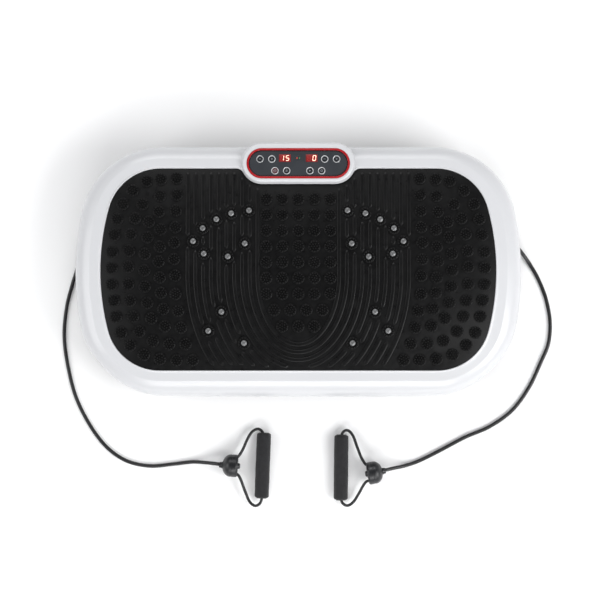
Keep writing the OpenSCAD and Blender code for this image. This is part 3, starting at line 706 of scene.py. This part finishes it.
def point_in(loop):
    """A test of whether a point is inside a closed loop, by counting the sides its row crosses."""
    sides = [(a, b) for a, b in zip(loop, loop[1:] + loop[:1]) if a[1] != b[1]]

    def inside(x, y):
        odd = False
        for (x0, y0), (x1, y1) in sides:
            if (y0 > y) != (y1 > y) and x < x0 + (y - y0) * (x1 - x0) / (y1 - y0):
                odd = not odd
        return odd

    return inside


def pill_distance(x, y, middle=POD_Y):
    return hypot(max(abs(x) - PILL_HALF, 0), y - middle)


# ---- top cover

# Rim height over the deck at a place across the rim; the crease lies at 0.42
RIM_TOP = [(0, 4.0), (0.012, 4.6), (0.03, 4.8), (0.05, 4.35), (0.07, 3.9), (0.12, 3.45),
           (0.25, 2.8), (0.40, 2.15), (0.44, 1.6), (0.55, -0.4), (0.66, -3.0), (0.76, -6.6),
           (0.85, -11.5)]
# Place across the rim at a height over the deck, from the skirt's foot up
SKIRT = [(-70, 0.97), (-62, 0.983), (-54, 0.991), (-46, 1.0), (-38, 1.0), (-30, 0.984),
         (-22, 0.95), (-16, 0.9), (-11.5, 0.85)]
# Radius of the pod's wall at a height, and height of its top at a distance from its axis
POD_WALL = [(80, 31), (86, 34.4), (93, 36.4), (100, 37.1), (110, 37.1), (120, 36.5),
            (128, 35.6), (134.6, 34.2), (138, 32.8), (139.6, 31.0)]
POD_TOP = [(0, 0), (29.6, 0), (30.8, -0.25), (31.9, -0.9), (32.8, -2.0), (33.5, -3.6),
           (34.1, -5.8), (34.7, -8.6), (35.3, -12), (36.4, -20), (39.4, -45), (70, -150)]
POD_EDGE = 34.0
BLEND = 3.0
# the shell round the pod is shaped apart, in this zone at its back
ZONE_FRONT, ZONE_HALF = 100, 135
# radii of the console's recess, of its ledge and of the pocket's outside
RECESS_R, LEDGE_R, POCKET_R = 25.65, 21, 30
RECESS_Z = POD_Z - 0.25
POCKET_T = 2.6
INSIDE_Z = SKIRT_Z + 66.5


def rim_height(u):
    """Height of the rim's top at a place across it."""
    return DECK_Z + hermite(RIM_TOP, u)


def rise_from_mat(x, y):
    """Distance into the white rim from the mat's back edge and the pod's bite, in mm."""
    dx, dy = abs(x) - SHOULDER[0], y - SHOULDER[1]
    lean = (POD_Y - SHOULDER[1]) / (SHOULDER[0] - PILL_HALF)
    toward_pod = dx < 0 and dy > 0 and dy < -dx * lean
    if dx < 0 and dy > 0 and not toward_pod:
        return hypot(dx, dy) - SHOULDER_R
    return max(POD_R - pill_distance(x, y), y - MAT_LINE[1])


def cover_height(x, y):
    """Height of the cover's top near the pod."""
    rim = rim_height(max(rise_from_mat(x, y), 0) / RIM_W)
    pod = POD_Z + hermite(POD_TOP, pill_distance(x, y))
    return min(soft_max(rim, pod, BLEND), POD_Z)


def pod_back(x, radius):
    """How far back the pod's wall reaches at a place across, for a wall radius."""
    across = max(abs(x) - PILL_HALF, 0)
    return POD_Y + sqrt(radius ** 2 - across ** 2) if across < radius else 0


def skirt_point(j, z, outlines):
    """A point of the skirt at column j and height z, with the pod's wall blended in."""
    u = hermite(SKIRT, min(z - DECK_Z, SKIRT[-1][0]))
    key = round(u, 4)
    if key not in outlines:
        outlines[key] = rim_outline(key)
    x, y = outlines[key][j]
    if in_pod_zone(x, y):
        y = soft_max(y, pod_back(x, hermite(POD_WALL, z)), BLEND)
    return x, y


# Distances from the mat for the lip's rings, and places across the rim for the rest
LIP_STEPS = (0, 0.25, 0.5, 0.85, 1.25, 1.65, 2.1, 2.8, 3.7, 5)
RIM_STEPS = (0.2, 0.3, 0.37, 0.4, 0.412, 0.425, 0.44, 0.47, 0.51, 0.55, 0.6, 0.66, 0.71, 0.76,
             0.805, RIM_TOP[-1][0])


def in_pod_zone(x, y):
    return y > ZONE_FRONT and abs(x) < ZONE_HALF


def make_top_cover():
    shape = Shape()
    outlines = {}
    rim_z = DECK_Z + RIM_TOP[-1][1]
    lip = [[(x, y, cover_height(x, y) if in_pod_zone(x, y) else rim_height(e / RIM_W))
            for x, y in notched_outline(-e)] for e in LIP_STEPS]
    rows = []
    for u in RIM_STEPS:
        row = []
        for x, y in rim_outline(u):
            z = rim_height(u)
            if in_pod_zone(x, y):
                if u == RIM_STEPS[-1]:
                    y = soft_max(y, pod_back(x, POD_EDGE), BLEND)
                z = cover_height(x, y)
            row.append((x, y, z))
        rows.append(row)
    edge, mat_edge = rows[-1], lip[0]

    # rings all round the mat's lip, then strips from the pod's one side round to its other
    loops = shape.loft(lip, foot=False, top=False)
    count = len(loops[-1])
    left_end = count - (len(edge) - BITE_END)
    strips = [loops[-1][left_end:] + loops[-1][:BITE_START]]
    strips += [shape.add(row[BITE_END:] + row[:BITE_START]) for row in rows]
    for a, b in zip(strips, strips[1:]):
        shape.bridge(a, b, closed=False)

    # the ground between the lip, the rim's edge and the console's recess is filled in
    inner_run = lip[-1][BITE_START - 1:left_end + 1]
    left_column = [row[BITE_END] for row in rows[:-1]]
    outer_run = edge[BITE_START - 1:BITE_END + 1][::-1]
    right_column = [row[BITE_START - 1] for row in rows[:-1]][::-1]
    around = inner_run + left_column + outer_run + right_column
    in_zone = point_in([p[:2] for p in around])
    extra = [p for row in rows[:-1] for p in row[BITE_START:BITE_END]
             if in_zone(p[0], p[1] - 0.5) and pill_distance(p[0], p[1]) > 41]
    for d in (28, 29.3, 30.1, 30.8, 31.5, 32.1, 32.7, 33.3, 33.9, 34.5, 35.2, 36.4, 38, 40):
        for x, y, _ in pill(d, 0, 44, 40, POD_Y):
            if rise_from_mat(x, y) > 5.4 and in_zone(x, y + 0.6):
                extra.append((x, y, cover_height(x, y)))
    extra += pill(26.1, POD_Z - 0.03) + pill(26.8, POD_Z)
    shape.fill([around, pill(RECESS_R, RECESS_Z)], lambda x, y: in_zone(x, y)
               and pill_distance(x, y, CONSOLE.y) > RECESS_R - 0.05, extra)

    # skirt, foot lip and the inside
    drops = [2, 4, 6.5, 9.5, 13, 17, 22, 28, 35, 42, 49, 55, 58.1]
    rings = [edge]
    for drop in drops:
        share = drop / (rim_z - SKIRT_Z)
        ring = []
        for j, (_, y, top) in enumerate(edge):
            z = rim_z - drop + (top - rim_z) * (1 - share) ** 2
            px, py = skirt_point(j, z, outlines)
            if in_pod_zone(px, py):
                py += (y - skirt_point(j, top, outlines)[1]) * (1 - share) ** 3
            ring.append((px, py, z))
        rings.append(ring)
    foot = [(0.966, 0), (0.955, 0), (0.918, 0), (0.91, 0.5), (0.93, 16), (0.94, 31), (0.89, 45),
            (0.79, 55), (0.62, 63), (0.4, INSIDE_Z - SKIRT_Z)]
    for u, rise in foot:
        rings.append([(x, y, SKIRT_Z + rise) for x, y in rim_outline(u)])
    shape.loft(rings, foot=False, top=False)

    # lip down to the deck, the deck itself, the console's pocket and the flat underside
    shape.loft([mat_edge, [(x, y, DECK_Z) for x, y, _ in mat_edge]], foot=False)
    pocket = [(RECESS_R, RECESS_Z), (RECESS_R, POCKET_Z), (LEDGE_R, POCKET_Z),
              (LEDGE_R, POCKET_Z - POCKET_T), (POCKET_R, POCKET_Z - POCKET_T),
              (POCKET_R, INSIDE_Z)]
    shape.loft([pill(r, z) for r, z in pocket], foot=False, top=False)
    in_inner = point_in([p[:2] for p in rings[-1]])
    shape.fill([rings[-1], pill(POCKET_R, INSIDE_Z)],
               lambda x, y: in_inner(x, y) and pill_distance(x, y, CONSOLE.y) > POCKET_R)
    make_piece("shell_cover", shape, "shell_white", "platform", ["top_cover"], 38)


# ---- rubber mat

RIDGE_X, RIDGE_PITCH, RIDGE_W, RIDGE_H, RIDGE_COUNT = 68.7, 13.07, 7.2, 1.6, 10
NUB_R = 10.5
PIP_R = 1.5


def ridge_path(a):
    """A ridge's middle line: straight from the back, then round the front in half an ellipse."""
    straight = [(a, 170 - 180 * i / 60) for i in range(60)]
    steps = 120
    turn = [pi * i / steps for i in range(steps + 1)]
    bend = [(a * cos(t), -10 - (a + 48) * sin(t)) for t in turn]
    return straight + bend + [(-x, y) for x, y in reversed(straight)]


def add_ridge(shape, run):
    """A rounded bar along a run of points, tapering to nothing at both ends."""
    count = len(run)
    rings = []
    walked = [0.0]
    for a, b in zip(run, run[1:]):
        walked.append(walked[-1] + dist(a, b))
    for i, (x, y) in enumerate(run):
        ax, ay = run[max(i - 1, 0)]
        bx, by = run[min(i + 1, count - 1)]
        size = hypot(bx - ax, by - ay)
        nx, ny = (by - ay) / size, -(bx - ax) / size
        near = min(walked[i], walked[-1] - walked[i]) / (RIDGE_W * 0.6)
        full = sqrt(max(1 - (1 - min(near, 1)) ** 2, 0.02))
        ring = []
        for share, lift in ((-1, -0.2), (-0.97, 0.45), (-0.8, 0.86), (-0.45, 1), (0.45, 1),
                            (0.8, 0.86), (0.97, 0.45), (1, -0.2)):
            w, h = share * RIDGE_W / 2 * full, MAT_Z + RIDGE_H * lift * full
            ring.append((x + nx * w, y + ny * w, h))
        rings.append(ring)
    shape.loft(rings)


def add_pip(shape, x, y, z, r, h):
    """A small dome on six sides."""
    rings = [circle(x, y, z, r, 6), circle(x, y, z + h * 0.62, r * 0.86, 6),
             circle(x, y, z + h * 0.95, r * 0.45, 6)]
    shape.loft(rings, foot=False)


def add_nub(shape, x, y, boss=False):
    """A disc with a scalloped rim of pips; a foot nub also has pips inside."""
    spin = random.uniform(0, pi)
    disc = NUB_TOP - (1.0 if boss else 1.5)
    rings = [circle(x, y, MAT_Z - 0.3, NUB_R, 32), circle(x, y, disc - 0.7, NUB_R, 32),
             circle(x, y, disc - 0.2, NUB_R - 0.25, 32), circle(x, y, disc, NUB_R - 0.9, 32)]
    if boss:
        rings += [circle(x, y, disc, 5.6, 32), circle(x, y, disc - 0.8, 5.15, 32)]
    shape.loft(rings)
    for px, py, _ in circle(x, y, 0, NUB_R - 2.1, 12, spin):
        add_pip(shape, px, py, disc - 0.3, PIP_R + 0.15, NUB_TOP - disc + 0.3)
    if not boss:
        for px, py, _ in circle(x, y, 0, NUB_R * 0.42, 6, spin):
            add_pip(shape, px, py, disc - 0.3, PIP_R, NUB_TOP - disc + 0.1)
        add_pip(shape, x, y, disc - 0.3, PIP_R, NUB_TOP - disc + 0.1)


def make_mat():
    shape = Shape()
    edge = [(DECK_Z, MAT_GAP), (MAT_Z - 0.8, MAT_GAP), (MAT_Z - 0.25, MAT_GAP + 0.2),
            (MAT_Z, MAT_GAP + 0.8)]
    shape.loft([[(x, y, z) for x, y in notched_outline(gap)] for z, gap in edge])
    studs = centres(islands("magnet_studs"))
    tops = centres(islands("rubber_mat", NUB_TOP - 0.1))
    inside = point_in(notched_outline(6))

    def free(x, y):
        near = min(hypot(x - s.x, y - s.y) for s in studs)
        return inside(x, y) and near > NUB_R + RIDGE_W * 0.3

    for i in range(RIDGE_COUNT):
        run = []
        for x, y in ridge_path(RIDGE_X + RIDGE_PITCH * i):
            if free(x, y):
                run.append((x, y))
            else:
                if len(run) > 4:
                    add_ridge(shape, run)
                run = []
        if len(run) > 4:
            add_ridge(shape, run)
    nubs = {(round(p.x, 1), round(p.y, 1)) for p in tops}
    for x, y in sorted(nubs):
        boss = min(hypot(x - s.x, y - s.y) for s in studs) < 1
        add_nub(shape, x, y, boss)
    make_piece("deck_mat", shape, "mat_rubber", "platform", ["rubber_mat"], 50)


def make_studs():
    shape = Shape()
    for low, high in islands("magnet_studs"):
        r = (high.x - low.x) / 2
        dome = [(r * cos(a), low.z + 2 + (high.z - low.z - 2) * sin(a))
                for a in [pi / 2 * i / 9 for i in range(10)]]
        profile = [(0, low.z), (r - 0.3, low.z), (r, low.z + 0.4)] + dome
        shape.merge(lathe(profile, 36), over(low, high))
    make_piece("massage_studs", shape, "stud_steel", "platform", ["magnet_studs"])


# ---- console

def make_trim_ring():
    shape = Shape()
    foot, top = PANEL_Z, ring_high.z
    section = [(22, foot), (22, top - 0.9), (22.2, top - 0.4), (22.7, top - 0.05), (23.3, top),
               (24.3, top), (24.95, top - 0.1), (25.35, top - 0.45), (RING_R, top - 1),
               (RING_R, foot)]
    loops = shape.loft([pill(r, z, 48, 40) for r, z in section], foot=False, top=False)
    shape.bridge(loops[-1], loops[0])
    make_piece("red_trim_ring", shape, "ring_red", "platform", ["trim_ring"], 50)


def segment(x0, y0, x1, y1, z, w):
    """One bar of a seven-segment digit, with pointed ends."""
    along = Vector((x1 - x0, y1 - y0)).normalized()
    side = Vector((-along.y, along.x)) * w / 2
    a, b = Vector((x0, y0)) + along * 0.12, Vector((x1, y1)) - along * 0.12
    flat = [a, a + along * w / 2 + side, b - along * w / 2 + side, b,
            b - along * w / 2 - side, a + along * w / 2 - side]
    shape = Shape()
    shape.loft([[(p.x, p.y, z + h) for p in flat] for h in (0, 0.06)])
    return shape


def digit(cx, cy, z, lit):
    """The lit and the unlit bars of a slanted digit."""
    w, h, slant = 4.7, 8.4, 0.12
    places = {"a": (0, 2, 1, 2), "b": (1, 1, 1, 2), "c": (1, 0, 1, 1), "d": (0, 0, 1, 0),
              "e": (0, 0, 0, 1), "f": (0, 1, 0, 2), "g": (0, 1, 1, 1)}
    on, off = Shape(), Shape()
    for name, (i0, j0, i1, j1) in places.items():
        ends = []
        for i, j in ((i0, j0), (i1, j1)):
            y = (j - 1) * h / 2
            ends += [cx + (i - 0.5) * w + slant * y, cy + y]
        (on if name in lit else off).merge(segment(*ends, z, 1.15))
    return on, off


SEGMENTS = {"1": "bc", "5": "acdfg", "0": "abcdef", " ": ""}
# what each window shows, from left to right; the middle one holds the status marks
READINGS = {"time": "15", "status": "", "speed": " 0"}
DIGIT_PITCH = 8.9


def make_displays():
    windows = islands("display_lenses")
    for (name, reading), (low, high) in zip(READINGS.items(), windows):
        middle, size = (low + high) / 2, high - low
        body = rounded_box(middle.x, middle.y, low.z, size - Vector((0.2, 0.2, 0)), 0.8, 0.2)
        make_piece(name + "_window", body, "window_red" if reading else "status_window",
                   "platform", ["display_lenses"])
        if not reading:
            continue
        on, off = Shape(), Shape()
        for k, letter in enumerate(reading):
            x = middle.x + (k - 0.5) * DIGIT_PITCH
            lit, unlit = digit(x, middle.y, high.z, SEGMENTS[letter])
            on.merge(lit)
            off.merge(unlit)
        make_piece(name + "_digits", on, "digit_lit", "platform")
        make_piece(name + "_unlit_segments", off, "digit_unlit", "platform")
    low, high = windows[1]
    x, y = (low.x + high.x) / 2, (low.y + high.y) / 2
    for side, material in ((-1, "mark_red"), (1, "mark_green")):
        mark = Shape()
        for row in (-1.0, 1.0):
            mark.merge(rounded_box(x + side * 2.1, y + row, high.z, (2.0, 0.8, 0.06), 0.2, 0.02))
        make_piece("status_mark_" + material[5:], mark, material, "platform")


def icon(kind):
    """Raised generic signs on the caps, about the cap's middle."""
    shape = Shape()
    bars = {"minus": [(3.4, 0.7, 0)], "plus": [(3.4, 0.7, 0), (0.7, 3.4, 0)],
            "power": [(3.4, 0.7, 0)], "mode": [(3.2, 0.5, y) for y in (-1.2, 0, 1.2)]}
    for w, d, y in bars.get(kind, []):
        shape.merge(rounded_box(0, y, 0, (w, d, 0.08), 0.2, 0.02))
    if kind == "play":
        flat = [(-1.1, -1.5), (1.7, 0), (-1.1, 1.5)]
        shape.loft([[(x, y, z) for x, y in flat] for z in (0, 0.08)])
    if kind in ("ring", "power"):
        r = 1.6 if kind == "ring" else 2.3
        loops = shape.loft([circle(0, 0, z, radius, 24) for radius, z in
                            ((r - 0.3, 0), (r + 0.3, 0), (r + 0.3, 0.08), (r - 0.3, 0.08))],
                           foot=False, top=False)
        shape.bridge(loops[-1], loops[0])
    return shape


KEYS = {"time_down": "minus", "time_up": "plus", "speed_down": "minus", "speed_up": "plus",
        "power": "power", "mode": "mode", "manual": "play", "auto": "ring"}


def make_buttons():
    rims = Shape()
    for low, high in islands("button_rings"):
        foot, top = low.z, high.z
        r = (high.x - low.x) / 2
        profile = [(4.95, foot), (4.95, top - 0.2), (5.15, top), (5.6, top + 0.12),
                   (6.0, top - 0.05), (r - 0.05, foot + 0.35), (r, foot)]
        rims.merge(lathe(profile, 40, closed=True), over(low, high))
    make_piece("key_rims", rims, "ring_silver", "platform", ["button_rings"])
    for name, kind in KEYS.items():
        low, high = cad_box(name + "_button")
        top = high.z
        profile = [(0, low.z), (4.2, low.z), (4.2, PANEL_Z - 3.2), (6, PANEL_Z - 3.2),
                   (6, PANEL_Z - 2.0), (4.8, PANEL_Z - 2.0), (4.8, top - 0.75),
                   (4.66, top - 0.42), (4.3, top - 0.2), (3.6, top - 0.08), (2, top - 0.01),
                   (0, top)]
        cap = Shape().merge(lathe(profile, 40), over(low, high))
        material = "power_cap" if name == "power" else "button_dark"
        make_piece(name + "_cap", cap, material, name + "_key", [name + "_button"], 45)
        mark = Shape().merge(icon(kind), over(low, high, top - 0.03))
        make_piece(name + "_sign", mark, "key_mark", name + "_key")


# ---- base

def cut(piece, boxes):
    """Cuts boxes (low, high) in millimetres out of a piece."""
    tool = Shape()
    for low, high in boxes:
        flat = [(low[0], low[1]), (high[0], low[1]), (high[0], high[1]), (low[0], high[1])]
        tool.loft([[(x, y, z) for x, y in flat] for z in (low[2], high[2])])
    cutter = to_scene("cutter", new_mesh("cutter", tool))
    modifier = piece.modifiers.new("cut", "BOOLEAN")
    modifier.object = cutter
    modifier.solver = "EXACT"
    evaluated = piece.evaluated_get(bpy.context.evaluated_depsgraph_get())
    result = bpy.data.meshes.new_from_object(evaluated)
    piece.modifiers.clear()
    piece.data = result
    bpy.data.objects.remove(cutter)


CASE_SHARP = 35


def make_base_case():
    shape = Shape()
    foot, top = case_low.z, case_high.z
    outside = [(6, foot), (3, foot + 0.6), (1.2, foot + 2), (0.3, foot + 4.5), (0, foot + 8),
               (0, foot + 28), (0.8, foot + 28.5), (0.8, foot + 30), (0, foot + 30.5),
               (0, top - 0.8), (0.6, top)]
    inside = [(2.6, top), (3, top - 0.8), (3, foot + 7), (3.8, foot + 4), (6, foot + 3)]
    rings = [[(x, y, z) for x, y in outline(inset(BASE_LINE, d), 20)]
             for d, z in outside + inside]
    shape.loft(rings)
    piece = make_piece("base_case", shape, "case_charcoal", "base", ["bottom_case"], CASE_SHARP)
    wall = (case_high.y - 10, case_high.y + 5)
    boxes = []
    for node, side in (("power_inlet", 2.8), ("rocker_frame", 2.3)):
        low, high = cad_box(node)
        boxes.append(((low.x + side, wall[0], low.z + side), (high.x - side, wall[1],
                                                               high.z - side)))
    boxes += [((x - 3, wall[0], 30), (x + 3, wall[1], 64)) for x in range(60, 201, 14)]
    boxes += [((x - 3, y - 30, foot - 2), (x + 3, y + 30, foot + 8))
              for x in range(-196, 197, 14) for y in (-150, 150) if abs(x) > 20]
    cut(piece, boxes)
    piece.data.set_sharp_from_angle(angle=radians(CASE_SHARP))


def make_feet():
    shape = Shape()
    for low, high in islands("suction_feet"):
        r, top = (high.x - low.x) / 2, high.z
        profile = [(3, 4.5), (9, 4.2), (16, 3.4), (19, 2.4), (21.4, 1.2), (23.2, 0.0),
                   (r - 0.5, 0.0), (r, 0.3), (r, 0.9), (24, 2.6), (22.3, 4.6), (20, 6),
                   (17.3, 7), (15.6, 8), (14.6, 9.2), (14.0, 10.2), (14.4, 11), (14.4, 11.8),
                   (13.6, 12.2), (13.5, top), (3, top)]
        shape.merge(lathe(profile, 56, closed=True), over(low, high))
    make_piece("suction_cup_feet", shape, "foot_rubber", "base", ["suction_feet"])


# ---- cords, stoppers and grips

def make_cord(name, route, radius, node):
    path = smooth_path(route, radius)
    data = bpy.data.curves.new(name, "CURVE")
    data.dimensions = "3D"
    data.bevel_depth = radius * MM
    data.bevel_resolution = 6
    data.use_fill_caps = True
    line = data.splines.new("POLY")
    line.points.add(len(path) - 1)
    for point, place in zip(line.points, path):
        point.co = (*(place * MM), 1)
    line.use_smooth = True
    data.materials.append(materials["cord_rubber"])
    piece = to_scene(name, data)
    hand_over(piece, "base", [node])
    return piece, path


def make_stopper(side):
    """A moulded dome with a neck for the cord, a parting groove, and a flat face with a nub."""
    x, y, turn = STOPPERS[side]
    r = STOPPER_R
    dome = [(r * cos(a), r * 0.75 * sin(a)) for a in [radians(-72 + 4.5 * i) for i in range(15)]]
    profile = [(0, -20), (3.9, -20), (4.7, -19.4), (5.0, -18), (5.4, -15.6), (6.2, -14.2)]
    profile += dome + [(r, 0), (r, 1.6), (r - 0.45, 1.9), (r - 0.45, 2.7), (r, 3), (r, 9.2),
                       (r - 0.35, 10.9), (r - 1.4, 12.1), (r - 3, 12.5), (7.6, 12.5),
                       (7.2, 11.9), (5.6, 11.9), (5.2, 12.4), (4.9, 14.8), (4.2, 16),
                       (2.5, 16.5), (0, 16.5)]
    place = (Matrix.Translation((x, y, r)) @ Matrix.Rotation(radians(turn), 4, "Z")
             @ Matrix.Rotation(radians(90), 4, "Y"))
    shape = Shape().merge(lathe(profile, 72), place)
    return make_piece(side + "_stopper", shape, "stopper_plastic", "base", ["cord_stoppers"],
                      38)


def make_grip(side):
    """A foam sleeve: round ends, a slight belly, and the small unevenness of soft foam."""
    joint = next(j for j in frame["joints"] if j["name"] == side + "_grip_spin")
    middle, axis = Vector(joint["pos_m"]) / MM, Vector(joint["axis"]).normalized()
    low, high = cad_box(side + "_grip_foam")
    half = (high.y - low.y) / 2 - 0.2
    r = (high.z - low.z) / 2
    core, bend = 8.8, 3.4
    profile = [(core, -half + 1.2), (core + 0.9, -half + 0.2)]
    profile += [(r - bend + bend * cos(a), -half + bend + bend * sin(a))
                for a in [radians(-90 + 15 * i) for i in range(7)]]
    straight = 34
    profile += [(r, -half + bend + (2 * half - 2 * bend) * i / straight)
                for i in range(1, straight)]
    profile += [(radius, -z) for radius, z in reversed(profile[:9])]
    sleeve = lathe(profile, 72, closed=True)
    points = []
    for x, y, z in sleeve.points:
        radius = hypot(x, y)
        if radius > core + 1.5:
            swell = noise.noise(Vector((x, y, z)) / 16) * 0.22
            swell += noise.noise(Vector((x, y, z)) / 3.5) * 0.07
            swell -= 0.25 * (abs(z) / half) ** 3
            x, y = x * (1 + swell / radius), y * (1 + swell / radius)
        points.append((x, y, z))
    sleeve.points = points
    place = Matrix.Translation(middle) @ axis.to_track_quat("Z", "Y").to_matrix().to_4x4()
    shape = Shape().merge(sleeve, place)
    piece = make_piece(side + "_foam_sleeve", shape, "foam_black", side + "_grip",
                       [side + "_grip_foam"], 60)


def make_cords():
    for side, route, loop in (("left", LEFT_ROUTE, LEFT_LOOP),
                              ("right", RIGHT_ROUTE, RIGHT_LOOP)):
        stopper = make_stopper(side)
        cord, path = make_cord(side + "_resistance_cord", route, CORD_R, side + "_cord")
        strand, path = make_cord(side + "_handle_loop", loop, LOOP_R, side + "_loop")


# ---- stage and light

FLOOR_HALF = 9.0


def make_floor():
    mesh = bpy.data.meshes.new("floor")
    h = FLOOR_HALF
    mesh.from_pydata([(-h, -h, 0), (h, -h, 0), (h, h, 0), (-h, h, 0)], [], [(0, 1, 2, 3)])
    mesh.materials.append(materials["floor"])
    to_scene("floor", mesh)


def add_light(name, place, size, power):
    data = bpy.data.lights.new(name, "AREA")
    data.shape = "RECTANGLE"
    data.size, data.size_y = size
    data.energy = power
    aim(to_scene(name, data), place, Vector((0, 0, 0.1)) - Vector(place))


def make_light():
    world = bpy.data.worlds.new("studio")
    world.use_nodes = True
    tree = world.node_tree
    background = tree.nodes["Background"]
    set_inputs(background, Color=(0.97, 0.98, 1.0, 1))
    coords = tree.nodes.new("ShaderNodeTexCoord")
    parts = tree.nodes.new("ShaderNodeSeparateXYZ")
    fade = tree.nodes.new("ShaderNodeMapRange")
    set_inputs(fade, From_Min=0.1, From_Max=0.95, To_Min=0.7, To_Max=0.12)
    tree.links.new(coords.outputs["Generated"], parts.inputs["Vector"])
    tree.links.new(parts.outputs["Z"], fade.inputs["Value"])
    tree.links.new(fade.outputs["Result"], background.inputs["Strength"])
    bpy.context.scene.world = world
    add_light("key", (2.4, -1.1, 2.3), (2.0, 2.0), 88)
    add_light("left_fill", (-2.5, -0.3, 2.1), (2.0, 2.0), 36)
    add_light("front_fill", (0.1, -2.8, 2.2), (2.6, 1.4), 58)
    add_light("back_fill", (-0.2, 2.7, 2.4), (2.8, 1.6), 50)
    bpy.context.scene.view_settings.view_transform = "Standard"


# ---- the whole

make_camera()
make_cords()
dress_cad_nodes()
make_top_cover()
make_mat()
make_studs()
make_trim_ring()
make_displays()
make_buttons()
make_base_case()
make_feet()
for grip_side in ("left", "right"):
    make_grip(grip_side)
make_floor()
make_light()
